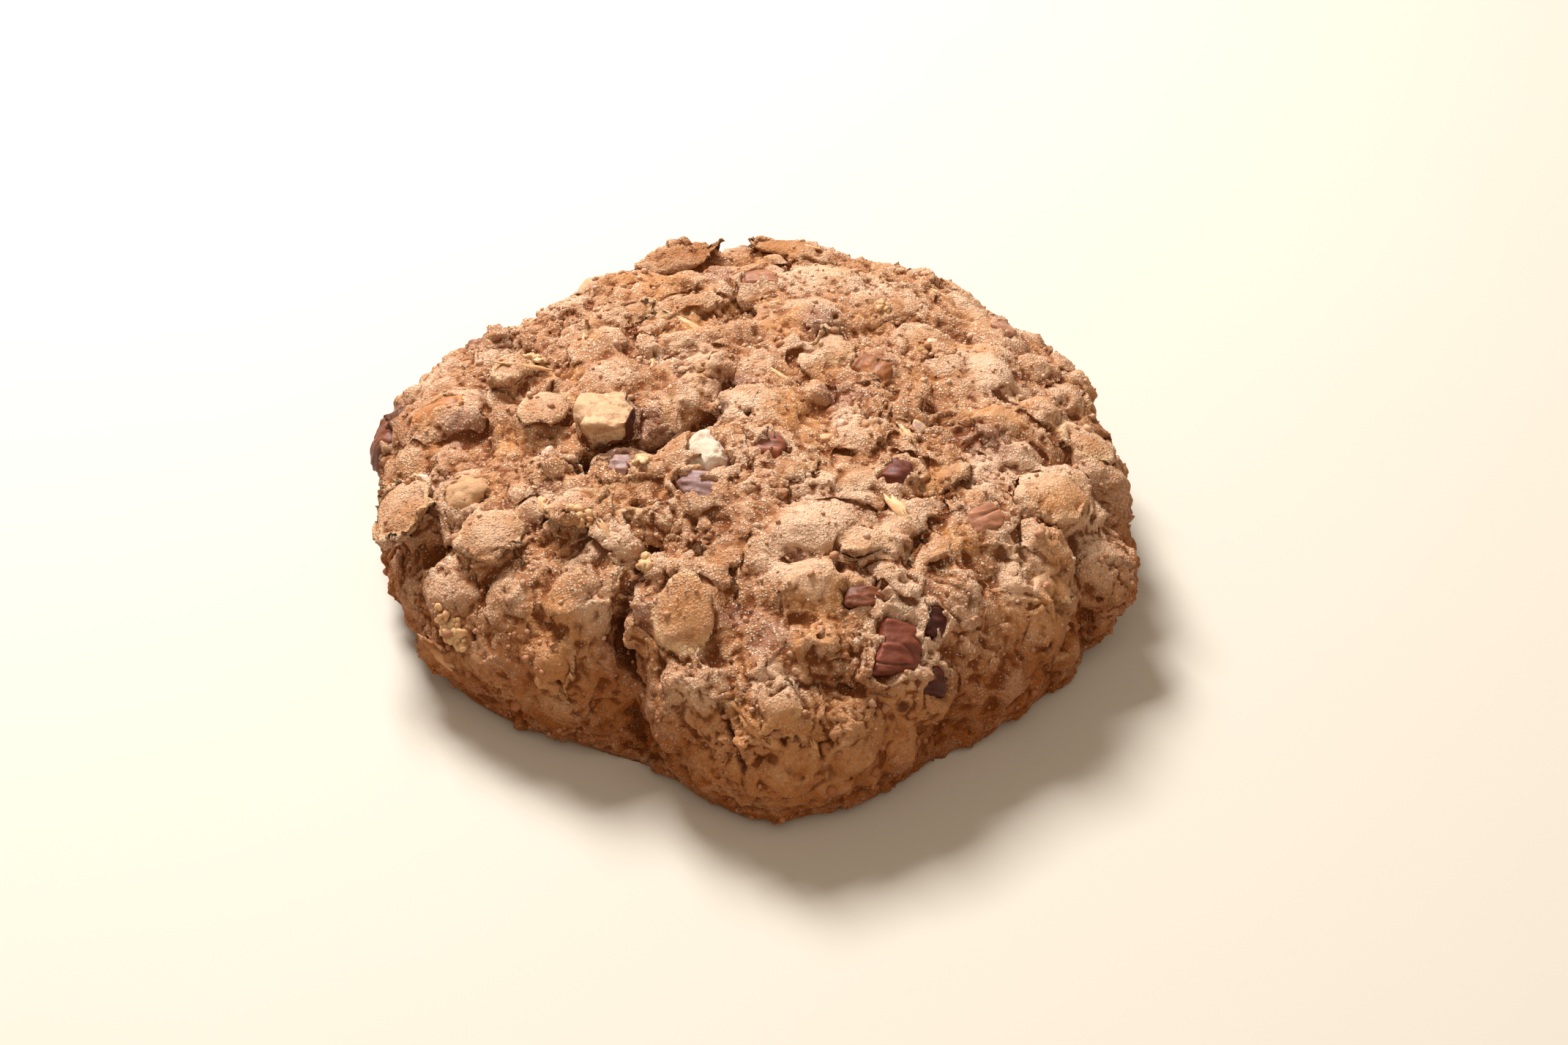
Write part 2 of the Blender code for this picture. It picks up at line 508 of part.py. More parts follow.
def filler_places():
    """Seeded spread of smaller lumps between the placed ones, none over a pecan piece or a crease."""
    draw = random.Random(SEED)
    points, reaches, _ = crease_stations()
    taken = [(skin_point(p.azimuth, p.walk), max(p.long, p.wide) * LUMP_ROOM) for p in LUMPS]
    taken += [(skin_point(p.azimuth, p.walk), max(p.long, p.wide) * PECAN_ROOM) for p in PECANS.values()]
    for count, size, rise in FILLERS:
        placed = 0
        for _ in range(count * FILLER_TRIES):
            if placed == count:
                break
            azimuth = draw.uniform(0, 360)
            walk = math.sqrt(draw.uniform(FILLER_TOP_WALK ** 2, FILLER_LOW_WALK ** 2))
            place = skin_point(azimuth, walk)
            if any((place - other).length < reach + size * FILLER_GAP for other, reach in taken):
                continue
            near = (np.linalg.norm(points - np.array(place), axis=1) - reaches * CREASE_ROOM).min()
            if near < size * FILLER_CREASE_GAP:
                continue
            grow = draw.uniform(0.8, 1.25)
            taken.append((place, size * grow * LUMP_ROOM))
            long = size * grow * draw.uniform(1.0, 1.35)
            wide = size * grow * draw.uniform(0.8, 1.0)
            thick = size * draw.uniform(1.0, 1.3)
            raised = rise * draw.uniform(0.5, 1.3)
            yield Lump(azimuth, walk, long, wide, thick, raised, draw.uniform(0, 180), draw.uniform(-4, 8))
            placed += 1


def oat_lumps():
    made = new_collection("oat_lumps")
    for seed, piece in enumerate(LUMPS):
        lump(piece, f"lump_{seed}", made, LUMP_FINENESS, seed)
    for seed, piece in enumerate(filler_places(), start=len(LUMPS)):
        fineness = LUMP_FINENESS if piece.long > SMALL_LUMP else SMALL_LUMP_FINENESS
        lump(piece, f"lump_{seed}", made, fineness, seed)
    return made


# ---- finishing the fused body ----

def drop_scraps(target):
    """Keep the largest shell of the fused body."""
    made = bmesh.new()
    made.from_mesh(target.data)
    bmesh.ops.remove_doubles(made, verts=made.verts[:], dist=WELD)
    unseen = set(made.verts)
    shells = []
    while unseen:
        front = [unseen.pop()]
        shell = list(front)
        while front:
            vert = front.pop()
            for edge in vert.link_edges:
                other = edge.other_vert(vert)
                if other in unseen:
                    unseen.remove(other)
                    shell.append(other)
                    front.append(other)
        shells.append(shell)
    shells.sort(key=len)
    for shell in shells[:-1]:
        bmesh.ops.delete(made, geom=shell, context="VERTS")
    made.to_mesh(target.data)
    made.free()


def even_out(target, cell):
    """Redraw the fused body with even faces, which closes its hairline seams."""
    step = target.modifiers.new("even", "REMESH")
    step.mode = "VOXEL"
    step.voxel_size = cell * MM
    apply_modifiers(target)


def thin_out(target, budget):
    """Collapse short edges down to a triangle budget."""
    triangles = sum(len(face.vertices) - 2 for face in target.data.polygons)
    step = target.modifiers.new("thin", "DECIMATE")
    step.decimate_type = "COLLAPSE"
    step.ratio = min(1.0, budget / triangles)
    step.use_collapse_triangulate = True
    apply_modifiers(target)


def flatten_underside(target):
    for vert in target.data.vertices:
        if vert.co.z < 0.5 * BASE_CLEAR * MM:
            vert.co.z = 0.0


def cookie(collection, finish, pieces):
    body = dough_core(collection)
    merge(body, oat_lumps(), "UNION")
    even_out(body, SURFACE_GRAIN)
    drop_scraps(body)
    thin_out(body, COOKIE_TRIANGLES)
    flatten_underside(body)
    merge(body, sockets(pieces), "DIFFERENCE")
    drop_scraps(body)
    body.data.materials.clear()
    body.data.materials.append(finish)
    body.data.shade_smooth()
    body.data.set_sharp_from_angle(angle=math.radians(SHARP_ANGLE))
    return body


def main():
    clear_scene()
    collection = new_collection("pecan_cookie")
    finishes = {
        "dough": material("dough", DOUGH_COLOUR, 0.85),
        "skin": material("pecan_skin", SKIN_COLOUR, 0.5),
        "flesh": material("pecan_flesh", FLESH_COLOUR, 0.6),
    }
    pieces = pecans(collection, finishes)
    cookie(collection, finishes["dough"], pieces)


main()
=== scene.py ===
"""Pecan cookie, dressed: sandy crust, oat flakes, pecan pieces, crumbs, and the stage it is shown on.

Forms are worked out in millimetres and written in metres.
A place on the cookie is an azimuth in degrees (0 = +X, 90 = +Y, so 270 faces the viewer)
and a walk, the distance along the smooth dome from the crown down to the base.
Features that the photograph shows were picked in it one by one. Their places in it were turned
into azimuth and walk through the camera's view; places on the far side are guesses.
"""
import math
import random
from collections import namedtuple
from functools import lru_cache

import bmesh
import bpy
import numpy as np
from bpy.props import FloatProperty, FloatVectorProperty, IntProperty, PointerProperty
from mathutils import Matrix, Vector
from mathutils.bvhtree import BVHTree


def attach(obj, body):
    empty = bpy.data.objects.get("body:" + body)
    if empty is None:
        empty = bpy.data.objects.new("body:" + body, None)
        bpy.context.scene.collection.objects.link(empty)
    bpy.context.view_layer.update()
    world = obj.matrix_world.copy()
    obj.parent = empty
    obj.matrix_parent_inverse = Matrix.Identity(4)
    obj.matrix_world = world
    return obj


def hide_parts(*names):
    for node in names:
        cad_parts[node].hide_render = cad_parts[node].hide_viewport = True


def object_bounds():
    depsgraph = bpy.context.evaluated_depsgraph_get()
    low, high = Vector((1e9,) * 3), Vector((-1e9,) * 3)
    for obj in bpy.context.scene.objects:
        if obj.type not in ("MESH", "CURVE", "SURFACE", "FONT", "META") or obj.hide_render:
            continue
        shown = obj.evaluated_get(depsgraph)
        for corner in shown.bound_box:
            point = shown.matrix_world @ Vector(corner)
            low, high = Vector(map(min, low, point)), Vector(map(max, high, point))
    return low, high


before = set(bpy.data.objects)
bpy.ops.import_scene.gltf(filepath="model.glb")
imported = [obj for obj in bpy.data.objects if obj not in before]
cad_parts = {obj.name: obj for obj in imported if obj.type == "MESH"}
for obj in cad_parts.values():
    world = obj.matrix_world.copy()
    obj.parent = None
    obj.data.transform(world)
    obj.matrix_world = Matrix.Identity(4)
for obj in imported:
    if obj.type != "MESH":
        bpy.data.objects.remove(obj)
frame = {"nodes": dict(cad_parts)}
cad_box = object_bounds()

bl_info = {
    "name": "Pecan cookie",
    "version": (1, 0, 0),
    "blender": (4, 5, 0),
    "location": "3D View > Sidebar > Cookie",
    "description": "Makes the crust, oat flakes, pecan pieces, crumbs and stage of a pecan cookie",
    "category": "Object",
}

MM = 0.001

# ---- the smooth dome that places are given on ----
CROWN_HEIGHT = 22.5
WAIST_HEIGHT = 7.0
TUCK = 0.93
SHOULDER_OUT = 2.7
SHOULDER_UP = 2.4
RIM_RADIUS = (42.0, 41.9, 42.2, 42.6, 43.2, 43.4, 43.2, 42.2,
              40.6, 40.0, 43.2, 44.3, 42.2, 41.7, 41.5, 40.0,
              37.8, 38.2, 43.0, 42.2, 39.7, 40.2, 41.6, 41.8)

# ---- pecan pieces: where each CAD solid lies and how it looks ----
Kernel = namedtuple("Kernel", "azimuth walk turn skin ridges lap hide flesh")
# turn: 0 points the length of the piece to +X; skin: share of the visible top that keeps its skin;
# ridges: how deeply the skin is furrowed; lap: share of the piece's half width that dough laps over;
# hide and flesh: colours of the skin and of the broken faces, in 0 to 255
CREAM = (212, 170, 130)
WHITE = (216, 194, 170)
GOLD = (198, 136, 82)
PLUM = (118, 60, 41)
UMBER = (78, 30, 14)
MAUVE = (150, 88, 62)
LILAC = (186, 152, 142)
TOFFEE = (170, 108, 62)
ROSE = (176, 126, 98)
DUSK = (156, 102, 72)
BURNT = (124, 66, 40)
RUSSET = (122, 68, 43)
SMOKE = (144, 107, 100)
SAND = (196, 150, 108)
KERNELS = {
    "pecan_cream_left": Kernel(191, 16.6, 4, 0.0, 0.2, 0.0, UMBER, CREAM),
    "pecan_cream_crown": Kernel(240, 11.9, 6, 0.0, 0.2, -0.12, LILAC, WHITE),
    "pecan_dark_crown": Kernel(247, 17.2, -14, 1.0, 0.2, -0.10, SMOKE, GOLD),
    "pecan_small_left": Kernel(217, 18.2, -10, 1.0, 0.3, 0.02, LILAC, WHITE),
    "pecan_crown_front": Kernel(280, 8.2, -12, 1.0, 0.3, -0.06, MAUVE, GOLD),
    "pecan_red_right": Kernel(321, 19.4, -20, 1.0, 0.4, -0.06, PLUM, GOLD),
    "pecan_front_bar": Kernel(290.5, 31.0, 8, 1.0, 0.5, -0.08, RUSSET, GOLD),
    "pecan_front_ridged": Kernel(293.3, 37.2, 0, 1.0, 0.8, 0.02, PLUM, GOLD),
    "pecan_front_dark": Kernel(301.0, 36.8, 0, 1.0, 0.4, -0.04, UMBER, GOLD),
    "pecan_front_low": Kernel(297, 42.2, 0, 1.0, 0.4, -0.04, UMBER, CREAM),
    "pecan_lobe_right": Kernel(323, 30.0, 27, 0.4, 1.0, 0.26, DUSK, TOFFEE),
    "pecan_back_grey": Kernel(89, 24.2, 0, 0.85, 0.6, 0.15, DUSK, TOFFEE),
    "pecan_right_dark": Kernel(25, 14.0, 55, 0.7, 0.3, 0.36, TOFFEE, GOLD),
    "pecan_back_right": Kernel(33, 34.0, 33, 0.8, 0.4, 0.15, ROSE, GOLD),
    "pecan_left_round": Kernel(201, 33.6, 211, 0.0, 0.3, 0.42, UMBER, SAND),
    "pecan_left_golden": Kernel(176, 35.0, 188, 0.3, 0.3, 0.26, TOFFEE, GOLD),
    "pecan_left_tip": Kernel(173, 43.6, 173, 1.0, 0.7, 0.20, BURNT, TOFFEE),
    "pecan_far_low": Kernel(78, 43.5, 98, 1.0, 0.8, 0.15, PLUM, GOLD),
    "pecan_far_left": Kernel(121, 42.0, 151, 0.0, 0.2, 0.15, UMBER, CREAM),
}

# ---- marks of the crust ----
Pit = namedtuple("Pit", "azimuth walk radius depth")
PITS = (
    Pit(318, 45, 1.0, 1.7), Pit(309, 43, 0.45, 0.8), Pit(291.5, 43, 0.85, 1.2), Pit(268, 46.3, 0.6, 1.1),
    Pit(288, 27, 0.7, 1.0), Pit(93, 18.5, 1.3, 1.8), Pit(255, 3.5, 0.8, 1.0), Pit(57, 17, 1.9, 1.0),
    Pit(175, 41.4, 1.5, 1.6), Pit(246, 30, 0.8, 1.1), Pit(243, 36, 0.9, 1.0), Pit(232, 22, 0.7, 1.1),
    Pit(209, 15, 1.3, 1.3), Pit(208, 10, 1.2, 1.2), Pit(190, 5, 1.0, 1.0), Pit(62, 33, 1.2, 1.4),
    Pit(85, 30, 1.1, 1.2), Pit(27, 22, 0.8, 1.0), Pit(22, 38, 1.3, 1.5), Pit(326, 31, 0.7, 1.1),
    Pit(333, 46, 0.5, 0.7), Pit(286.5, 31, 0.9, 1.2), Pit(222, 44, 0.6, 0.8), Pit(238, 45, 0.55, 0.8),
    Pit(216, 25, 0.7, 0.9), Pit(301, 40, 0.5, 0.7), Pit(276, 47, 0.4, 0.7), Pit(283, 49, 0.45, 0.7),
    Pit(262, 31, 0.5, 0.8), Pit(252, 22, 0.5, 0.7), Pit(341, 28, 0.6, 0.9), Pit(2, 25, 0.6, 0.9),
    Pit(140, 40, 0.9, 1.1), Pit(112, 44, 0.8, 1.0), Pit(55, 44, 0.9, 1.2), Pit(15, 46, 0.8, 1.0),
)

Crack = namedtuple("Crack", "width depth route")
CRACKS = (
    Crack(1.9, 1.7, ((203, 20), (209, 17), (212, 13), (209, 8), (196, 4))),
    Crack(0.55, 1.3, ((264, 40.5), (265.5, 43), (267.5, 45), (268, 47.5))),
    Crack(0.40, 0.8, ((272, 41.5), (273.5, 43), (275.5, 42.6), (276.5, 44))),
    Crack(0.40, 0.8, ((279, 41.5), (279.5, 43), (278.5, 45.5))),
    Crack(0.45, 1.0, ((264, 25), (264.5, 27), (266, 29), (264.5, 31))),
    Crack(0.45, 0.5, ((250, 37.5), (255, 38.6), (260, 38.2), (264, 36.5))),
    Crack(0.45, 0.7, ((272, 38.2), (277, 37.4), (283, 38.4), (288, 40.6), (292, 42.6))),
    Crack(0.45, 0.9, ((327, 31), (331, 33.5), (333, 37), (332, 41))),
    Crack(0.45, 0.9, ((200, 30), (197, 33), (195, 36), (197, 38))),
    Crack(1.4, 0.9, ((242, 27), (245, 31), (244, 36), (246, 41), (249, 44))),
    Crack(0.40, 0.8, ((224, 22), (226, 26), (223, 29))),
    Crack(0.45, 0.9, ((308, 28), (314, 27), (320, 27), (326, 29))),
    Crack(0.40, 0.7, ((247, 20), (252, 23), (257, 24), (260, 22))),
    Crack(0.40, 0.7, ((306, 33), (309, 36), (307, 39))),
    Crack(0.45, 0.9, ((218, 15), (213, 18), (209, 21), (203, 22))),
    Crack(0.45, 0.9, ((27, 19), (26, 22), (24, 25))),
    Crack(0.50, 1.0, ((110, 32.5), (100, 31.5), (90, 31.5), (78, 31))),
    Crack(0.45, 0.9, ((353, 19), (356, 22), (352, 25))),
    Crack(0.45, 0.9, ((150, 30.5), (160, 29.5), (170, 30), (178, 29))),
    Crack(0.40, 0.8, ((165, 20), (172, 22), (178, 20))),
    Crack(0.45, 0.9, ((60, 40), (66, 43), (70, 47))),
    Crack(0.45, 0.9, ((130, 38), (134, 42), (131, 47))),
    Crack(0.45, 0.9, ((5, 40), (9, 44), (7, 48))),
)

# places of smooth, uncrumbled dough: azimuth, walk and radius
CALM_PLACES = (
    (235.5, 36, 4.2), (256.5, 33.5, 4.2), (197, 39, 4.5), (213, 34, 3.6), (324, 40, 4.0),
    (184, 22.5, 3.4), (300, 1.5, 4.6), (57, 17, 3.6), (285, 20.5, 4.0), (281, 27, 3.6), (355, 26, 3.2),
    (310, 49, 5.0), (15, 27, 4.6), (3, 31, 2.8), (258, 50, 5.0), (72, 18, 4.6), (160, 14, 6.5),
    (222, 26, 2.8), (148, 21, 3.4), (28, 30, 4.6), (285, 49, 6.0), (344, 5, 4.0), (176, 26, 3.4),
)

# dips that stay deep where the rest of the crust is filled out; the first few are shaded as well
SHADED_GULLIES = 3
GULLIES = (
    ((206, 22), (209, 17), (212, 13), (208, 8), (190, 5), (150, 3.5), (122, 6)),
    ((100, 14), (96, 19), (92, 24)),
    ((243, 26), (245, 31), (244, 36), (246, 41), (249, 44), (248, 50), (249.5, 54)),
    ((299, 46), (300, 50), (300, 55)), ((330, 30), (334, 37), (333, 42), (330, 52)),
    ((351, 35), (347, 41), (344, 48)), ((190, 30), (175, 31), (160, 30)), ((205, 34), (204, 40)),
    ((108, 33), (92, 32), (78, 31), (64, 33)), ((28, 38), (26, 44)), ((60, 40), (66, 46)),
    ((131, 40), (131, 50)), ((176, 39.5), (172, 42)),
)

# patches of another colour: azimuth, walk and radius
# amber: toasted; cream: sugared; mauve: greyish, by the nuts; browned and shaded: more oven colour, partly
# painted shade on the low flanks;
# toffee: dark caramel by the left tip; shade: painted shade, dark only where the crust dips
AMBER_PATCHES = (
    (165, 21.2, 2.2), (118, 17, 3.0), (118, 33.8, 3.6), (113, 26.8, 3.4), (130, 8.8, 2.2),
    (234, 6.5, 1.4), (201, 31.5, 2.6), (176, 34.5, 3.0), (190, 27.8, 2.2), (52, 20.8, 3.0),
    (76, 14.5, 2.8), (34, 8.5, 1.8), (26, 27, 3.0), (6, 30.5, 2.2), (2, 33.8, 1.8), (357, 26.2, 2.6),
    (344, 5.2, 3.4), (327, 22.5, 2.0), (339, 34, 3.6), (18, 17.8, 1.8), (86, 31, 4.6), (66, 31, 3.6),
    (258, 33.8, 3.2), (282, 28, 3.4), (281, 32.2, 2.8), (276, 35, 2.0), (236, 39.2, 4.2),
    (250, 38.2, 3.0), (270, 42, 3.6), (238, 44.5, 3.4), (284, 27.5, 3.0), (320, 40.5, 4.4),
    (316, 30.2, 1.8), (328, 36.8, 2.6), (265, 45.5, 4.0), (272, 47.5, 4.4), (281, 47, 4.4),
    (274, 43.2, 4.0), (282, 42.8, 4.2), (292, 45.5, 4.6), (20, 44, 4.0), (60, 46, 4.0), (100, 46, 4.4),
    (140, 44, 4.0),
)
CREAM_PATCHES = (
    (130, 35.8, 2.6), (194, 36.2, 2.0), (180, 23.2, 1.4), (130, 10.8, 2.6), (143, 14.5, 1.4),
    (224, 3.5, 2.0), (156, 6.2, 2.4), (163, 39, 1.8), (56, 11.8, 2.6), (78, 26.2, 4.0), (62, 27.5, 3.0),
    (13, 27.8, 4.4), (20, 25.8, 2.4), (339, 26.2, 3.0), (342, 31, 3.6), (2, 36, 2.6), (338, 10, 1.6),
    (280, 24.5, 4.2), (239, 36, 1.8), (253.5, 31, 1.0), (257, 29.6, 0.9), (260, 41.2, 2.4),
    (207, 46, 1.8), (210, 39.2, 1.6), (234, 27.8, 1.8), (216, 26.8, 2.4), (294, 38.2, 2.6),
    (320, 37, 2.6), (334, 43.5, 3.0), (336, 39.8, 3.0), (298, 33.2, 3.2), (214, 33.5, 3.0),
    (196, 37, 2.6), (322, 34, 1.8), (293, 19, 4.6), (300, 26.2, 3.6), (273, 37.8, 2.4), (40, 40, 3.0),
    (120, 45, 3.0), (214, 49, 2.6), (222, 46.5, 2.2), (229, 49, 2.4), (238, 48, 2.0),
)
MAUVE_PATCHES = (
    (62, 16, 2.8), (6, 9, 2.6), (22, 14.8, 1.8), (198, 12.5, 2.4), (126, 5.5, 2.4), (98, 26.5, 2.2),
    (267, 30.2, 1.9), (272, 32.2, 2.2), (250, 35.5, 1.4), (181, 32.8, 2.2), (346, 25.5, 2.6),
    (170, 41.2, 2.2), (351, 22, 2.0), (150, 36, 2.4), (45, 36, 2.0), (90, 40, 2.4),
)
BROWNED_AND_SHADED_PATCHES = (
    (86, 34, 5.0), (104, 34, 5.0), (120, 35, 4.0), (70, 33, 4.0), (150, 38, 3.0), (176, 38, 3.4),
    (186, 35, 2.6), (300, 51, 4.0), (320, 48, 4.0), (345, 47, 4.0), (8, 44, 4.0), (244, 47, 3.0),
    (228, 53, 3.0),
)
TOFFEE_PATCHES = ((171, 41.4, 2.4), (168, 43.5, 1.8))
SHADE_PATCHES = (
    (171, 41.6, 2.6), (130, 3.5, 1.6), (93, 18.5, 2.0), (62, 33, 1.8), (85, 30.5, 2.0), (255, 3.5, 1.0),
    (207, 36.5, 1.4), (205, 33.6, 1.0), (229, 29, 1.2), (330, 31.5, 1.2), (286, 31, 1.0),
    (300, 44, 1.4), (246, 40, 1.6), (190, 31.5, 1.4), (20, 40, 1.6), (344, 22, 1.0), (120, 40, 1.6),
    (70, 44, 1.6), (150, 31, 1.6),
)

Flake = namedtuple("Flake", "azimuth walk long wide turn lean roll rise pale")
# turn 0 lays the long side downhill; lean lifts the downhill end; roll lifts the left edge;
# pale: how cream its rim is where coated, or its face where bare
COATED_FLAKES = (
    Flake(257.5, 33.5, 8.2, 7.2, 30, -4, 8, 0.55, 1.0), Flake(214, 33.6, 7.4, 7.0, 20, 6, 0, 0.30, 0.4),
    Flake(222, 26, 6.6, 5.4, 10, 12, 0, 0.35, 0.6), Flake(197, 39.5, 7.5, 9.0, -10, 14, 0, 0.50, 0.8),
    Flake(184, 22.5, 7.6, 5.6, 65, 8, 6, 0.40, 0.6), Flake(166, 26, 7.4, 3.6, 82, 12, 0, 0.4, 0.9),
    Flake(133, 24, 9.5, 4.0, 85, 10, 0, 0.3, 0.8), Flake(113, 20.5, 8.0, 3.6, 88, 12, 0, 0.3, 0.9),
    Flake(273, 39, 5.6, 5.0, 20, 4, 0, 0.2, 0.8),
    Flake(324, 38, 9.0, 3.4, 12, 0, 18, 0.60, 0.9), Flake(338.5, 34, 9.0, 6.4, 50, 8, 0, 0.20, 0.4),
    Flake(358, 36.5, 7.0, 5.6, 0, 6, 0, 0.2, 0.9),
    Flake(275, 45, 5.4, 4.2, 20, 4, 0, 0.2, 0.5), Flake(282, 46.5, 5.6, 4.2, -30, 0, 8, 0.2, 0.6),
    Flake(269, 41.5, 6.4, 2.2, 50, 0, 20, 0.3, 0.8), Flake(262, 42.5, 5.4, 3.2, -40, 10, 0, 0.2, 0.6),
    Flake(285, 12, 5.6, 3.0, 85, 14, 0, 0.2, 0.7), Flake(281, 16.5, 6.0, 2.6, 80, 10, 0, 0.2, 0.7),
    Flake(262, 24, 5.6, 3.6, -30, 6, 0, 0.2, 0.5), Flake(228, 21.5, 5.6, 3.6, 60, 12, 0, 0.3, 0.8),
    Flake(47, 12.5, 6.0, 4.0, 70, 8, 0, 0.2, 0.8), Flake(308, 17, 5.6, 3.6, 75, 12, 0, 0.2, 0.6),
    Flake(105, 35, 10.5, 4.4, 88, 14, 0, 0.3, 0.4), Flake(84, 35.5, 9.5, 4.4, 88, 12, 0, 0.3, 0.4),
    Flake(44, 32, 10.0, 3.6, 78, 12, 0, 0.3, 0.5), Flake(140, 45, 6.6, 4.6, 70, 8, 0, 0.2, 0.5),
    Flake(98, 45, 7.4, 5.0, 40, 6, 0, 0.2, 0.5), Flake(55, 41, 7.0, 4.6, 60, 8, 0, 0.3, 0.5),
    Flake(8, 46, 6.6, 4.6, 50, 0, 12, 0.3, 0.5), Flake(346, 43, 6.4, 3.6, 20, 0, 16, 0.3, 0.5),
    Flake(330, 22, 6.6, 4.6, 30, 6, 0, 0.1, 0.6),
)
BARE_FLAKES = (
    Flake(160, 25, 3.4, 2.4, 10, 20, 20, 0.5, 0.95), Flake(11, 30.2, 2.8, 0.8, 63, 0, 50, 0.6, 1.0),
    Flake(340, 17.2, 3.8, 1.1, -42, 0, 20, 0.25, 0.75), Flake(310, 23.5, 4.2, 1.3, -7, 0, 30, 0.4, 0.85),
    Flake(245, 29.5, 2.2, 1.8, 0, 0, 10, 0.4, 0.55), Flake(223, 42.2, 2.6, 0.9, 20, 0, 20, 0.20, 0.5),
    Flake(216, 48.6, 5.2, 1.6, 62, 0, 10, 0.14, 0.15), Flake(222, 16.4, 2.4, 1.7, 30, 10, 0, 0.5, 0.9),
    Flake(301, 48, 4.8, 1.6, 80, 0, 10, 0.1, 0.3), Flake(148, 22.2, 2.8, 0.8, -58, 0, 30, 0.3, 0.75),
    Flake(115, 17.4, 6.8, 0.9, 35, 0, 20, 0.3, 0.8), Flake(39, 6.0, 6.8, 0.8, -59, 0, 20, 0.25, 0.8),
    Flake(49, 33.2, 4.6, 0.7, 86, 0, 30, 0.3, 0.7), Flake(320, 9.6, 6.2, 1.3, 40, 8, 10, 0.25, 0.55),
    Flake(328, 13.5, 2.0, 0.5, -58, 0, 10, 0.2, 0.5), Flake(214, 27.4, 3.2, 1.5, 80, 0, 30, 0.35, 0.7),
    Flake(143, 14.4, 2.8, 0.9, -53, 0, 20, 0.2, 0.75), Flake(166, 24.6, 6.4, 0.9, 24, 0, 20, 0.3, 0.55),
    Flake(184, 18.8, 6.0, 0.9, 6, 0, 20, 0.25, 0.5), Flake(53, 24, 2.2, 1.4, -63, 6, 0, 0.4, 1.0),
    Flake(234, 27.8, 3.6, 0.8, 60, 0, 20, 0.25, 0.55), Flake(268, 41, 5.0, 0.8, 35, 0, 20, 0.15, 0.2),
    Flake(278, 45, 3.4, 0.7, 10, 0, 20, 0.1, 0.2),
    Flake(100, 42, 4.6, 1.0, 50, 0, 20, 0.2, 0.3), Flake(60, 42, 4.0, 0.9, 20, 0, 20, 0.2, 0.3),
    Flake(140, 39, 4.4, 1.0, 70, 0, 20, 0.2, 0.4), Flake(15, 42, 4.0, 0.9, 50, 0, 20, 0.2, 0.4),
    Flake(80, 36, 3.6, 0.8, 80, 0, 20, 0.25, 0.5),
)

# yellowish crumbs that cling together: azimuth, walk, half length and half width of the patch, and how many
CRUMBLED = (
    (218, 44.2, 2.6, 1.3, 54), (222, 16.5, 1.0, 0.7, 10), (226, 27, 1.3, 0.8, 14), (245, 29.5, 1.0, 0.8, 12),
    (160, 25, 1.5, 0.9, 18), (53, 24, 1.0, 0.6, 10),
)

Crystal = namedtuple("Crystal", "azimuth walk size")
# pale, glassy bits of fruit sugar on the crust
CRYSTALS = (
    Crystal(33, 23.4, 1.7), Crystal(351, 17.8, 2.6), Crystal(338, 10, 1.8), Crystal(194, 36.4, 1.8),
    Crystal(202, 23.4, 1.2), Crystal(232, 10, 1.1), Crystal(15, 19, 1.2),
)

ALL_ROUND = 360.0

# ---- seeds of the random draws ----
FLAKE_SEED = 4
CLUMP_SEED = 9
CRUMB_SEED = 77
BARE_FLAKE_SEED = 500
CRYSTAL_SEED = 700

# ---- how far things sink, stand out and spread, in millimetres ----
COATED_THICKNESS = 1.3
COATED_SINK = 0.92
BARE_SINK = 0.52
CRYSTAL_SINK = 0.2
KERNEL_CELL = 0.16
KERNEL_COAT = 0.10
SOCKET_COAT = 0.42
SOCKET_SINK = 0.22
MOUND_HEIGHT = 3.4
MOUND_SPREAD = 2.3
FLAKE_REACH = 52
CLUMP_REACH = 54
CRUMB_REACH = 55

# ---- stage: metres, watts, and shares of red, green and blue ----
LIGHTS = (
    ("key_light", (-0.17, 0.33, 0.47), 0.20, 7.0, (0.95, 0.98, 1.0)),
    ("fill_light", (0.06, -0.28, 0.42), 0.50, 0.9, (1.0, 0.90, 0.76)),
)
ROOM_TONE = (1.0, 0.85, 0.68, 1.0)
ROOM_STRENGTH = 0.28
FLOOR_HALF_WIDTH = 2.5
LENS, SENSOR_WIDTH = 50.0, 36.0
PHOTO_WIDTH = 2142
SHIFT_RIGHT, SHIFT_UP = 38, -32      # of the frame, in pixels of the photograph
VIEW_HEIGHT = 40                     # degrees above level
VIEW_DISTANCE = 0.245
AIM_HEIGHT = 0.008


# ---- numbers over space ----

def hashed(cell, salt):
    """Repeatable random numbers from 0 to 1 for rows of whole numbers."""
    x, y, z = (cell[:, k].astype(np.uint32) for k in range(3))
    mixed = (x * np.uint32(73856093)) ^ (y * np.uint32(19349663)) ^ (z * np.uint32(83492791))
    mixed ^= np.uint32((salt * 2654435761) % 4294967296)
    for shift, factor in ((15, 2246822519), (13, 3266489917)):
        mixed ^= mixed >> np.uint32(shift)
        mixed *= np.uint32(factor)
    mixed ^= mixed >> np.uint32(16)
    return mixed / 4294967295.0


def swell(points, size, salt):
    """Smooth noise from -1 to 1 with lumps about size wide."""
    turned = points @ TURNED / size
    cell = np.floor(turned).astype(np.int64)
    part = turned - cell
    part = part * part * part * (part * (part * 6 - 15) + 10)
    total = np.zeros(len(points))
    for corner in np.ndindex(2, 2, 2):
        weight = np.prod(np.where(corner, part, 1 - part), axis=1)
        total += weight * hashed(cell + corner, salt)
    return total * 2 - 1


TURNED = np.array(Matrix.Rotation(0.7, 3, Vector((0.4, 0.8, 0.45)).normalized()))


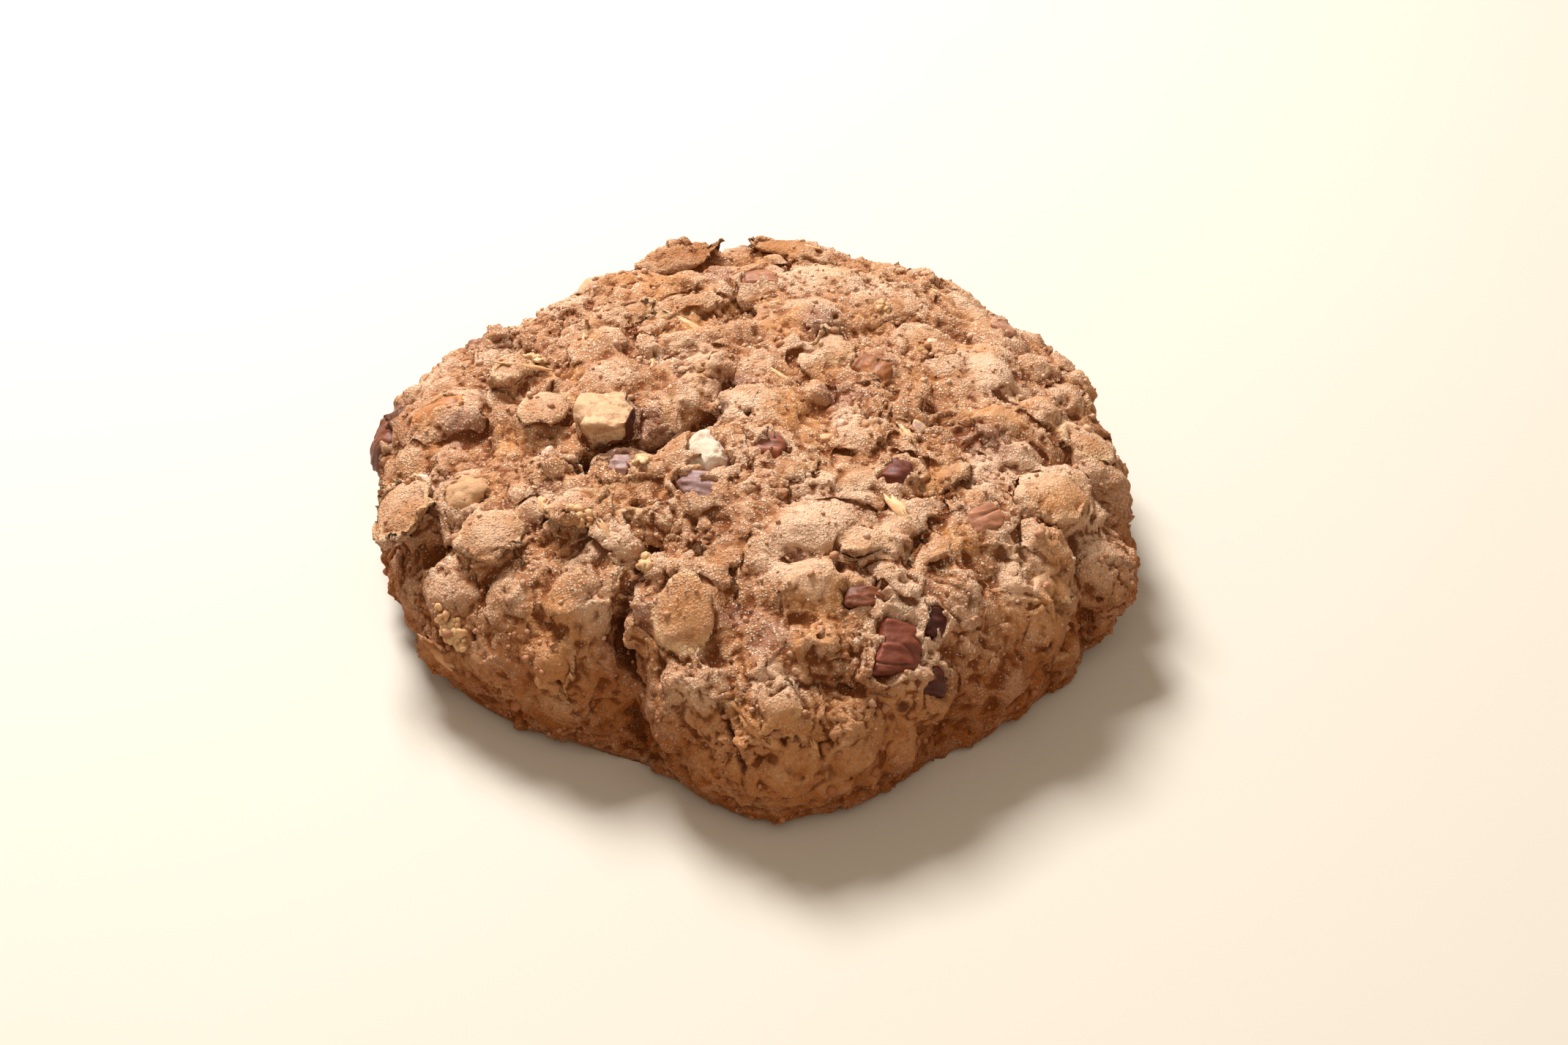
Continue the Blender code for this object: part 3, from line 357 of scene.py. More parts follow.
def layered(points, size, salt, layers=3):
    """Noise of several sizes, each half the one before."""
    total = sum(swell(points, size / 2 ** k, salt + 7 * k) / 2 ** k for k in range(layers))
    return total / (2 - 0.5 ** (layers - 1))


def billowed(points, size, salt, layers=4):
    """Round lumps of several sizes with sharp creases between them, from 0 in the creases to about 1."""
    total = sum(np.abs(swell(points, size / 1.9 ** k, salt + 7 * k)) / 1.8 ** k for k in range(layers))
    return total / sum(0.55 / 1.8 ** k for k in range(layers))


def warped(points, size, reach, salt):
    return points + reach * np.stack([swell(points, size, salt + k) for k in range(3)], axis=1)


def cells(points, size, salt):
    """Distance to the nearest of a scatter of seeds, in cell widths, and a number of that seed's own."""
    place = points / size
    home = np.floor(place).astype(np.int64)
    near = np.full(len(points), 9.0)
    own = np.zeros(len(points))
    for corner in np.ndindex(3, 3, 3):
        cell = home + corner - 1
        seed = cell + np.stack([hashed(cell, salt + k) for k in range(3)], axis=1)
        gap = np.linalg.norm(seed - place, axis=1)
        closer = gap < near
        own = np.where(closer, hashed(cell, salt + 3), own)
        near = np.minimum(near, gap)
    return near, own


def plates(points, size, salt, tilt=1.0):
    """Heights, about -0.5 to 0.5, of tilted plates with a step wherever two meet."""
    place = points / size
    home = np.floor(place).astype(np.int64)
    near = np.full(len(points), 9.0)
    height = np.zeros(len(points))
    for corner in np.ndindex(3, 3, 3):
        cell = home + corner - 1
        away = place - cell - np.stack([hashed(cell, salt + k) for k in range(3)], axis=1)
        lean = np.stack([hashed(cell, salt + 4 + k) for k in range(3)], axis=1) - 0.5
        gap = np.linalg.norm(away, axis=1)
        own = hashed(cell, salt + 3) - 0.5 + tilt * (away * lean).sum(axis=1)
        height = np.where(gap < near, own, height)
        near = np.minimum(near, gap)
    return height


def ease(values, low, high):
    """0 below low, 1 above high, smooth between."""
    part = np.clip((values - low) / (high - low), 0, 1)
    return part * part * (3 - 2 * part)


# ---- the dome ----

def rim_radius(azimuth):
    place = (azimuth % ALL_ROUND) / (ALL_ROUND / len(RIM_RADIUS))
    start = int(place)
    t = place - start
    a, b, c, d = (RIM_RADIUS[(start + k) % len(RIM_RADIUS)] for k in (-1, 0, 1, 2))
    return b + 0.5 * t * (c - a + t * (2 * a - 5 * b + 4 * c - d + t * (3 * (b - c) + d - a)))


def profile():
    """Walk, share of the rim radius and height, from the crown to the base."""
    mean_radius = sum(RIM_RADIUS) / len(RIM_RADIUS)
    upper = np.linspace(0.0, math.pi / 2, 400)
    lower = np.linspace(0.0, math.pi / 2, 100)[1:]
    share = np.concatenate([np.sin(upper) ** (2 / SHOULDER_OUT), TUCK + (1 - TUCK) * np.cos(lower)])
    dome = np.cos(upper).clip(0) ** (2 / SHOULDER_UP)
    height = np.concatenate([WAIST_HEIGHT + dome * (CROWN_HEIGHT - WAIST_HEIGHT),
                             WAIST_HEIGHT * (1 - np.sin(lower))])
    steps = np.hypot(np.diff(share) * mean_radius, np.diff(height))
    return np.concatenate([[0.0], np.cumsum(steps)]), share, height


WALKS, SHARES, HEIGHTS = profile()


def dome_point(azimuth, walk):
    radius = float(np.interp(walk, WALKS, SHARES)) * rim_radius(azimuth)
    angle = math.radians(azimuth)
    height = float(np.interp(walk, WALKS, HEIGHTS))
    return Vector((radius * math.cos(angle), radius * math.sin(angle), height))


def dome_frame(azimuth, walk):
    """Downhill, along the rim and outward directions."""
    walk = max(walk, 0.6)
    downhill = (dome_point(azimuth, walk + 0.3) - dome_point(azimuth, walk - 0.3)).normalized()
    along = (dome_point(azimuth + 0.5, walk) - dome_point(azimuth - 0.5, walk)).normalized()
    outward = downhill.cross(along).normalized()
    return downhill, outward.cross(downhill), outward


class Ground:
    """The surface that things are laid on, found from places on the dome."""

    def __init__(self, *objects):
        points, faces = [], []
        for item in objects:
            start = len(points)
            points += [vert.co / MM for vert in item.data.vertices]
            faces += [[start + k for k in face.vertices] for face in item.data.polygons]
        self.tree = BVHTree.FromPolygons(points, faces)

    def under(self, azimuth, walk):
        outward = dome_frame(azimuth, walk)[2]
        start = dome_point(azimuth, walk) + outward * 6
        hit, normal, _, _ = self.tree.ray_cast(start, -outward, 14)
        return (hit, normal) if hit else (dome_point(azimuth, walk), outward)

    def seat(self, azimuth, walk, turn=0.0, lean=0.0, roll=0.0, rise=0.0, follow=0.5):
        """Matrix that lays a flat form on the surface; follow: how far it takes the surface's own slope."""
        hit, normal = self.under(azimuth, walk)
        downhill, along, outward = dome_frame(azimuth, walk)
        up = outward.lerp(normal, follow).normalized()
        ahead = along.cross(up).normalized()
        basis = Matrix((ahead, up.cross(ahead), up)).transposed().to_4x4()
        turned = Matrix.Rotation(math.radians(turn), 4, "Z")
        leaned = Matrix.Rotation(math.radians(-lean), 4, "Y")
        rolled = Matrix.Rotation(math.radians(roll), 4, "X")
        return Matrix.Translation(hit + up * rise) @ basis @ leaned @ turned @ rolled


# ---- forms ----

@lru_cache
def ball(fineness):
    """Points and faces of a round ball of radius 1."""
    made = bmesh.new()
    bmesh.ops.create_icosphere(made, subdivisions=fineness, radius=1.0)
    points = np.array([vert.co[:] for vert in made.verts])
    faces = np.array([[vert.index for vert in face.verts] for face in made.faces])
    made.free()
    return points, faces


def moved(points, matrix):
    turn = np.array(matrix.to_3x3())
    return points @ turn.T + np.array(matrix.to_translation())


class Heap:
    """Closed forms gathered into one mesh."""

    def __init__(self):
        self.points, self.faces, self.count = [], [], 0

    def add(self, points, faces):
        self.points.append(points)
        self.faces.append(faces + self.count)
        self.count += len(points)

    def add_mesh(self, item, grow=0.0, shift=(0, 0, 0)):
        points, normals = read_points(item), read_normals(item)
        self.add(points + normals * grow + np.array(shift), read_triangles(item))

    def object(self, name):
        mesh = bpy.data.meshes.new(name)
        mesh.from_pydata(np.concatenate(self.points) * MM, [], np.concatenate(self.faces).tolist())
        mesh.update()
        made = bpy.data.objects.new(name, mesh)
        bpy.context.scene.collection.objects.link(made)
        return made


def read_points(item):
    flat = np.empty(len(item.data.vertices) * 3)
    item.data.vertices.foreach_get("co", flat)
    return flat.reshape(-1, 3) / MM


def read_normals(item):
    flat = np.empty(len(item.data.vertices) * 3)
    item.data.vertex_normals.foreach_get("vector", flat)
    return flat.reshape(-1, 3)


def read_edges(item):
    flat = np.empty(len(item.data.edges) * 2, dtype=np.int64)
    item.data.edges.foreach_get("vertices", flat)
    return flat.reshape(-1, 2)


def read_triangles(item):
    item.data.calc_loop_triangles()
    flat = np.empty(len(item.data.loop_triangles) * 3, dtype=np.int64)
    item.data.loop_triangles.foreach_get("vertices", flat)
    return flat.reshape(-1, 3)


def write_points(item, points):
    item.data.vertices.foreach_set("co", (points * MM).ravel())
    item.data.update()


def write_marks(item, name, *columns):
    """Up to three numbers for each vertex, kept as a colour for the materials to read."""
    marks = item.data.color_attributes.new(name, "FLOAT_COLOR", "POINT")
    values = np.ones((len(item.data.vertices), 4))
    for k, column in enumerate(columns):
        values[:, k] = column
    marks.data.foreach_set("color", values.ravel())


def apply_modifiers(item):
    evaluated = item.evaluated_get(bpy.context.evaluated_depsgraph_get())
    mesh = bpy.data.meshes.new_from_object(evaluated)
    old = item.data
    item.modifiers.clear()
    item.data = mesh
    bpy.data.meshes.remove(old)


def even_out(item, cell):
    """Redraw overlapping closed forms as one skin of even faces."""
    step = item.modifiers.new("even", "REMESH")
    step.mode = "VOXEL"
    step.voxel_size = cell * MM
    apply_modifiers(item)


def thin_out(item, budget):
    triangles = sum(len(face.vertices) - 2 for face in item.data.polygons)
    step = item.modifiers.new("thin", "DECIMATE")
    step.ratio = min(1.0, budget / triangles)
    step.use_collapse_triangulate = True
    apply_modifiers(item)


def keep_largest(item):
    """Drop every shell but the largest."""
    made = bmesh.new()
    made.from_mesh(item.data)
    made.verts.ensure_lookup_table()
    label = [-1] * len(made.verts)
    sizes = []
    for start in made.verts:
        if label[start.index] >= 0:
            continue
        label[start.index] = len(sizes)
        front, count = [start], 0
        while front:
            vert = front.pop()
            count += 1
            for edge in vert.link_edges:
                other = edge.other_vert(vert)
                if label[other.index] < 0:
                    label[other.index] = len(sizes)
                    front.append(other)
        sizes.append(count)
    keep = sizes.index(max(sizes))
    bmesh.ops.delete(made, geom=[v for v in made.verts if label[v.index] != keep], context="VERTS")
    made.to_mesh(item.data)
    made.free()


def settled(values, edges, rounds):
    """Each row averaged with its neighbours, a number of times."""
    first, second = edges[:, 0], edges[:, 1]
    count = len(values)
    links = np.bincount(first, minlength=count) + np.bincount(second, minlength=count)
    links = np.maximum(links, 1)
    for _ in range(rounds):
        columns = [np.bincount(first, values[second, k], count) + np.bincount(second, values[first, k], count)
                   for k in range(values.shape[1])]
        values = 0.35 * values + 0.65 * np.stack(columns, axis=1) / links[:, None]
    return values


def hollowness(points, normals, edges, rounds, reach):
    """0 on a crest, 0.5 where it is even, 1 in a dip; reach: the depth in millimetres that counts as full."""
    smooth = settled(points, edges, rounds)
    depth = ((smooth - points) * normals).sum(axis=1)
    return np.clip(0.5 + 0.5 * depth / reach, 0, 1)


# ---- oat flakes ----

def flake_form(long, wide, thick, seed, edge=0.95, torn=0.12):
    """A rolled flake with a worn outline, lengthwise dent and slight curl; edge below 1 thickens its rim."""
    points, faces = ball(3)
    draw = random.Random(seed)
    angle = np.arctan2(points[:, 1], points[:, 0])
    radius = np.hypot(points[:, 0], points[:, 1])
    rim = np.stack([np.cos(angle), np.sin(angle), np.full(len(angle), seed * 3.1)], axis=1)
    outline = 1 + 0.24 * swell(rim * 1.4, 1, 5) + torn * swell(rim * 3.6, 1, 6)
    blunt = (np.abs(np.cos(angle)) ** 2.5 + np.abs(np.sin(angle)) ** 2.5) ** (-1 / 2.5)
    spread = radius ** edge * outline * blunt
    x = np.cos(angle) * spread * long / 2
    y = np.sin(angle) * spread * wide / 2
    curl = draw.uniform(-0.3, 0.5)
    twist = draw.uniform(-0.25, 0.25)
    z = points[:, 2] * thick / 2 * (1.15 - 0.35 * spread ** 2) + 0.30 * thick * (1 - spread ** 2).clip(0)
    z += curl * (2 * x / long) ** 2 * thick * 0.6 + twist * (4 * x * y / (long * wide)) * thick
    z -= 0.18 * thick * np.exp(-(y / (0.16 * wide)) ** 2) * (points[:, 2] > 0)
    return np.stack([x, y, z], axis=1), faces


Laid = namedtuple("Laid", "matrix long wide thick pale")


def far_from_kernels(place, reach):
    return all((place - dome_point(k.azimuth, k.walk)).length > reach for k in KERNELS.values())


def far_from_calm(place):
    return all((place - dome_point(azimuth, walk)).length > radius for azimuth, walk, radius in CALM_PLACES)


def scattered_flakes(ground, sizes):
    """Seeded spread of crusted flakes, leaving the pecan pieces clear."""
    draw = random.Random(FLAKE_SEED)
    taken = []
    known = [(dome_point(flake.azimuth, flake.walk), 0.45 * flake.long) for flake in COATED_FLAKES]
    for _ in range(sizes.flake_count * 14):
        if len(taken) == sizes.flake_count:
            break
        azimuth, walk = draw.uniform(0, ALL_ROUND), FLAKE_REACH * math.sqrt(draw.uniform(0.003, 1))
        place = dome_point(azimuth, walk)
        long = sizes.flake_length / MM * draw.uniform(0.7, 1.2)
        gap = long * 0.42
        clear = far_from_kernels(place, 2.2 + long / 2) and far_from_calm(place)
        if not clear or any((place - p).length < gap + g for p, g in known):
            continue
        taken.append(place)
        known.append((place, gap))
        thick = draw.uniform(0.9, 1.2)
        matrix = ground.seat(azimuth, walk, draw.uniform(0, 180), draw.gauss(5, 7), draw.gauss(0, 7),
                             draw.uniform(-0.90, -0.50), 0.7)
        yield Laid(matrix, long, long * draw.uniform(0.58, 0.82), thick, draw.uniform(0.1, 0.7))


def placed_flakes(ground):
    for flake in COATED_FLAKES:
        rise = flake.rise - COATED_SINK
        matrix = ground.seat(flake.azimuth, flake.walk, flake.turn, flake.lean, flake.roll, rise, 0.6)
        yield Laid(matrix, flake.long, flake.wide, COATED_THICKNESS, flake.pale)


def flake_marks(points, flakes):
    """How far each vertex is on the flat of a flake, and how far on its rim."""
    flat = np.zeros(len(points))
    rim = np.zeros(len(points))
    for flake in flakes:
        centre = np.array(flake.matrix.to_translation())
        near = np.nonzero(np.abs(points - centre).max(axis=1) < flake.long * 0.62)[0]
        if not len(near):
            continue
        local = moved(points[near], flake.matrix.inverted())
        reach = np.hypot(2 * local[:, 0] / flake.long, 2 * local[:, 1] / flake.wide)
        above = ease(local[:, 2], -0.5 * flake.thick, 0.1 * flake.thick)
        level = ease(-np.abs(local[:, 2]), -flake.thick, -0.4 * flake.thick)
        flat[near] = np.maximum(flat[near], above * level * (1 - ease(reach, 0.72, 0.98)))
        rim[near] = np.maximum(rim[near], flake.pale * above * level * np.exp(-((reach - 0.96) / 0.10) ** 2))
    return flat, rim


# ---- crust ----

def scattered_clumps(ground, sizes):
    """Small lumps of dough between the flakes, kept out of the deepest dips."""
    draw = random.Random(CLUMP_SEED)
    made = 0
    points, faces = ball(2)
    while made < sizes.clump_count:
        azimuth, walk = draw.uniform(0, ALL_ROUND), CLUMP_REACH * math.sqrt(draw.uniform(0.002, 1))
        hit, _ = ground.under(azimuth, walk)
        dip = (dome_point(azimuth, walk) - hit).dot(dome_frame(azimuth, walk)[2])
        keen = draw.random()
        if dip > 2.2 or keen > 0.6 or not far_from_kernels(hit, 3.4) or not far_from_calm(hit):
            continue
        size = draw.uniform(0.8, 1.6)
        turn, lean, roll = draw.uniform(0, 360), draw.uniform(-30, 30), draw.uniform(-30, 30)
        matrix = ground.seat(azimuth, walk, turn, lean, roll, draw.uniform(-0.35, 0.00) * size, 0.7)
        rough = 1 + 0.30 * swell(points * 1.1 + made * 2.3, 1, 3)[:, None]
        sides = (size / 2, size * draw.uniform(0.6, 1.0) / 2, size * draw.uniform(0.5, 0.8) / 2)
        shape = points * rough * sides
        made += 1
        yield moved(shape, matrix), faces


def stations(ground, route, spacing=0.2):
    """Points on the surface each spacing along a route, a little off line."""
    draw = random.Random(len(route) * 100 + int(route[0][0]))
    made = []
    for (az_a, walk_a), (az_b, walk_b) in zip(route, route[1:]):
        turn = (az_b - az_a + 180) % ALL_ROUND - 180
        count = max(2, int((dome_point(az_b, walk_b) - dome_point(az_a, walk_a)).length / spacing))
        drift = draw.uniform(0, 9)
        for k in range(count):
            share = k / count
            sway = 0.25 * math.sin(drift + 9 * share) + draw.uniform(-0.08, 0.08)
            hit, _ = ground.under(az_a + turn * share + sway, walk_a + (walk_b - walk_a) * share + sway)
            made.append(hit[:])
    return np.array(made)


def gap_to(points, line, blocks):
    """Distance from each vertex to the nearest point of a line, worked out in blocks to spare memory."""
    return np.concatenate([np.linalg.norm(block[:, None, :] - line[None], axis=2).min(axis=1)
                           for block in np.array_split(points, blocks)])


def carving(points, ground, depth_scale):
    """Depth of the pits and cracks at each vertex."""
    depth = np.zeros(len(points))
    for pit in PITS:
        centre = np.array(ground.under(pit.azimuth, pit.walk)[0])
        gap = np.linalg.norm(points - centre, axis=1) / pit.radius
        near = gap < 2
        edge = gap[near] * (1 + 0.55 * swell(points[near], 1.1, 21) + 0.25 * swell(points[near], 0.5, 22))
        depth[near] = np.maximum(depth[near], pit.depth * (1 - ease(edge, 0.25, 1.15)))
    for crack in CRACKS:
        line = stations(ground, crack.route)
        centre = line.mean(axis=0)
        reach = np.linalg.norm(line - centre, axis=1).max() + 2
        near = np.nonzero(np.linalg.norm(points - centre, axis=1) < reach)[0]
        gaps = np.linalg.norm(points[near][:, None, :] - line[None], axis=2)
        taper = np.sin(np.linspace(0.12, 1, len(line)) * math.pi * 0.94) ** 0.5
        cut = (taper * crack.depth * (1 - ease(gaps / crack.width, 0.25, 1.0))).max(axis=1)
        depth[near] = np.maximum(depth[near], cut)
    return depth * depth_scale


def shaded_gullies(points, ground):
    """How much painted shade the first marked gullies get at each vertex."""
    dark = np.zeros(len(points))
    for route in GULLIES[:SHADED_GULLIES]:
        gap = gap_to(points, stations(ground, route, 0.6), 24)
        dark = np.maximum(dark, 1 - ease(gap, 0.4, 2.0))
    return dark


def calm(points):
    """How far each vertex lies in a place of smooth dough."""
    share = np.zeros(len(points))
    for azimuth, walk, radius in CALM_PLACES:
        gap = np.linalg.norm(points - np.array(dome_point(azimuth, walk)), axis=1) / radius
        share = np.maximum(share, 1 - ease(gap + 0.2 * swell(points, 2.5, 26), 0.65, 1.25))
    return share


def tinted(points, patches):
    """How far each vertex lies in one of a number of coloured patches with worn edges."""
    share = np.zeros(len(points))
    for azimuth, walk, radius in patches:
        gap = np.linalg.norm(points - np.array(dome_point(azimuth, walk)), axis=1) / (radius + 0.6)
        near = gap < 1.7
        worn = gap[near] + 0.35 * swell(points[near], 1.9, 27) + 0.15 * swell(points[near], 0.8, 28)
        share[near] = np.maximum(share[near], 1 - ease(worn, 0.45, 1.20))
    return share


def crust_relief(points, flat, dip):
    """Height added to the crust, in millimetres: torn plates of several sizes, creased crumb, grit."""
    loose = np.clip(0.45 + 0.6 * ease(swell(points, 7, 31), -0.2, 0.5) + 0.4 * ease(dip, 0.58, 0.85), 0, 1.15)
    loose *= (1 - 0.4 * flat) * (1 - 0.62 * calm(points))
    bent = warped(warped(points, 2.4, 0.8, 40), 0.8, 0.26, 44)
    torn = 0.80 * plates(bent, 5.4, 50) + 0.46 * plates(bent + 31.0, 2.6, 57)
    torn = torn + 0.28 * plates(bent + 57.0, 1.2, 64)
    lumps = 0.50 * (billowed(bent, 4.2, 70, 2) - 0.5)
    crumb = 0.44 * (billowed(warped(points, 1.1, 0.35, 47), 1.2, 55, 3) - 0.5)
    near, own = cells(warped(points, 0.9, 0.25, 75), 0.75, 78)
    grit = (0.6 - near) * 0.20 + 0.08 * (own - 0.5)
    coarse = layered(points, 8, 80, 3) * 0.80
    return loose * (torn + lumps + crumb + grit) + coarse * (1 - 0.4 * flat)


def kneaded(points, normals):
    """Wander sideways along the surface, so that no lump keeps a round outline."""
    shift = 0.95 * (warped(points, 3.4, 1.0, 90) - points) + 0.40 * (warped(points, 1.3, 1.0, 94) - points)
    return points + shift - normals * (shift * normals).sum(axis=1)[:, None]


def filled_out(points, normals, edges, ground):
    """Level the lumps and the dips between them, apart from the marked gullies and the smooth places."""
    lines = np.concatenate([stations(ground, route, 0.8) for route in GULLIES])
    gap = gap_to(points, lines, 40)
    depth = ((settled(points, edges, 200) - points) * normals).sum(axis=1)
    level = 0.80 * np.clip(depth, 0, 2.6) + 0.55 * np.clip(depth, -2.6, 0)
    keep = ease(gap, 1.0, 3.2) * (1 - 0.75 * calm(points)) * ease(points[:, 2], 0.8, 5.0)
    return points + normals * (level * keep)[:, None]


def outline_reach(across, turns=24):
    """Distance from the middle to the outline in each of a number of directions, for points in the plane."""
    angle = np.arctan2(across[:, 1], across[:, 0]) % math.tau
    slot = (angle / math.tau * turns).astype(int) % turns
    far = np.hypot(across[:, 0], across[:, 1])
    return np.array([far[slot == k].max(initial=0.5) for k in range(turns)])


def bared(points):
    """How far each vertex lies over the open part of a pecan piece, that no dough laps over."""
    share = np.zeros(len(points))
    push = np.zeros((len(points), 3))
    for name, kernel in KERNELS.items():
        node = read_points(frame["nodes"][name])
        centre = node.mean(axis=0)
        downhill, along, outward = (np.array(way) for way in dome_frame(kernel.azimuth, kernel.walk))
        plane = np.array([downhill, along])
        rim = outline_reach((node - centre) @ plane.T)
        near = np.nonzero(np.linalg.norm(points - centre, axis=1) < rim.max() * 1.6)[0]
        across = (points[near] - centre) @ plane.T
        turn = np.arctan2(across[:, 1], across[:, 0]) % math.tau / math.tau * len(rim)
        reach = np.interp(turn, np.arange(len(rim) + 1) + 0.5, np.append(rim, rim[0]))
        ragged = 0.16 * swell(points[near], 1.5, 17) + 0.10 * swell(points[near], 0.6, 18)
        inside = np.hypot(across[:, 0], across[:, 1]) / reach + ragged
        edge = 1.0 - kernel.lap
        upper = ease((points[near] - centre) @ outward, -0.5, 0.8)
        open_here = (1 - ease(inside, edge - 0.10, edge + 0.04)) * upper
        share[near] = np.maximum(share[near], open_here)
        push[near] -= outward * (1.5 * open_here)[:, None]
    return share, push


def fit_in_box(points):
    low, high = (np.array(corner) / MM for corner in cad_box)
    return np.clip(points, low, high)


def mound(node, kernel):
    """Low swell of dough that comes up to the top of a pecan piece all round."""
    downhill, along, outward = dome_frame(kernel.azimuth, kernel.walk)
    corners = read_points(node)
    centre = corners.mean(axis=0)
    local = (corners - centre) @ np.array([downhill, along, outward]).T
    reach = np.abs(local[:, :2]).max(axis=0) + MOUND_SPREAD
    points, faces = ball(3)
    shape = points * (reach[0], reach[1], MOUND_HEIGHT)
    shape[:, 2] += local[:, 2].max() - 3.45
    return shape @ np.array([downhill, along, outward]) + centre, faces


def raw_crust(ground, flakes, sizes):
    """The dough, its flakes, clumps and the cover over the pecan pieces, drawn as one skin."""
    nodes = frame["nodes"]
    heap = Heap()
    heap.add_mesh(nodes["cookie"])
    for name, kernel in KERNELS.items():
        outward = dome_frame(kernel.azimuth, kernel.walk)[2]
        heap.add_mesh(nodes[name], SOCKET_COAT, outward * -SOCKET_SINK)
        if kernel.lap:
            heap.add(*mound(nodes[name], kernel))
    for seed, flake in enumerate(flakes):
        points, faces = flake_form(flake.long, flake.wide, flake.thick, seed)
        heap.add(moved(points, flake.matrix), faces)
    for points, faces in scattered_clumps(ground, sizes):
        heap.add(points, faces)
    crust = heap.object("crust")
    even_out(crust, sizes.crust_cell / MM)
    keep_largest(crust)
    return crust


def shape_crust(crust, ground, flakes, sizes):
    """Give the skin its relief, pits and cracks, open it over the pecan pieces and dimple its base."""
    points, normals, edges = read_points(crust), read_normals(crust), read_edges(crust)
    above = ease(points[:, 2], 0.2, 1.2)
    points = points + above[:, None] * (settled(points, edges, 3) - points)
    points = filled_out(points, normals, edges, ground)
    bare, push = bared(points)
    flat, _ = flake_marks(points, flakes)
    sideways = above * (1 - bare) * (1 - 0.7 * flat)
    points = points + sideways[:, None] * (kneaded(points, normals) - points)
    dip = hollowness(points, normals, edges, 40, 1.2)
    cut = carving(points, ground, sizes.crack_depth)
    height = crust_relief(points, flat, dip) * sizes.relief_depth - cut
    points = points + normals * (height * above * (1 - bare))[:, None] + push * above[:, None]
    base = points[:, 2] < 0.3
    dimples = 0.22 * ease(layered(points, 2.2, 120, 3), 0.15, 0.7)
    points[base, 2] = dimples[base]
    write_points(crust, fit_in_box(points))
    thin_out(crust, sizes.crust_triangles)
    write_points(crust, fit_in_box(read_points(crust)))


def mark_crust(crust, flakes):
    """Write what the material reads: dips, cuts with the painted shade in them and in the gullies, flakes,
    oven colour with painted shade on the flanks, and coloured patches.
    """
    points, normals, edges = read_points(crust), read_normals(crust), read_edges(crust)
    flat, rim = flake_marks(points, flakes)
    fine = hollowness(points, normals, edges, 5, 0.22)
    broad = hollowness(points, normals, edges, 90, 1.5)
    ground = Ground(crust)
    # painted shade: pits, cracks, the first gullies and the shade patches in dips are darkened; the toffee
    # patches are dark caramel
    shade = 0.42 * shaded_gullies(points, ground) * ease(broad, 0.5, 0.8)
    cut = np.maximum(carving(points, ground, 1.0), shade)
    cut = np.maximum(cut, 0.50 * tinted(points, SHADE_PATCHES) * ease(broad, 0.25, 0.60))
    cut = np.maximum(cut, 0.78 * tinted(points, TOFFEE_PATCHES))
    write_marks(crust, "relief", fine, broad, np.clip(cut, 0, 1))
    # oven colour, partly painted shade on the low and steep flanks
    brown_and_shade = np.clip(browning_and_shade(points, normals) + 0.45 * tinted(points, BROWNED_AND_SHADED_PATCHES), 0, 1)
    write_marks(crust, "cover", flat, rim, brown_and_shade)
    tints = [tinted(points, kind) for kind in (AMBER_PATCHES, CREAM_PATCHES, MAUVE_PATCHES)]
    write_marks(crust, "tint", *tints)


def make_crust(sizes):
    ground = Ground(*frame["nodes"].values())
    flakes = [*placed_flakes(ground), *scattered_flakes(ground, sizes)]
    crust = raw_crust(ground, flakes, sizes)
    shape_crust(crust, ground, flakes, sizes)
    mark_crust(crust, flakes)
    crust.data.shade_smooth()
    return crust


def browning_and_shade(points, normals):
    """Share of oven colour and painted shade: low flanks and the underside take the most, the plateau the
    least. The underside's share is oven colour; on the low and steep flanks it is partly painted shade.
    """
    flank = 1 - ease(points[:, 2] + 1.8 * swell(points, 7, 140), 5.5, 18.0)
    steep = 1 - ease(normals[:, 2], 0.0, 0.9)
    under = 1 - ease(points[:, 2], 0.3, 0.8)
    return np.clip(0.80 * flank + 0.25 * steep + under, 0, 1)


# ---- bare flakes, clinging crumbs, sugar bits and grains ----

def clinging_crumbs(ground):
    """Points, faces and creaminess of each crumb in the clusters."""
    points, faces = ball(2)
    for azimuth, walk, ahead, aside, count in CRUMBLED:
        draw = random.Random(int(azimuth))
        middle = ground.seat(azimuth, walk, draw.uniform(0, 180), 0, 0, 0, 0.6)
        for _ in range(count):
            way, far = draw.uniform(0, math.tau), draw.random() ** 0.6
            place = middle @ Vector((ahead * far * math.cos(way), aside * far * math.sin(way), 0))
            hit, normal, _, _ = ground.tree.find_nearest(place)
            size = draw.uniform(0.30, 0.62)
            rough = 1 + 0.45 * swell(points * 1.3 + draw.uniform(0, 90), 1, 12)[:, None]
            shape = points * rough * (size, size * draw.uniform(0.6, 1.0), size * draw.uniform(0.5, 0.9))
            turn = Matrix.Rotation(draw.uniform(0, math.tau), 4, normal)
            matrix = Matrix.Translation(hit + normal * draw.uniform(0.0, 0.35)) @ turn
            yield moved(shape, matrix), faces, draw.uniform(0.65, 1.0)


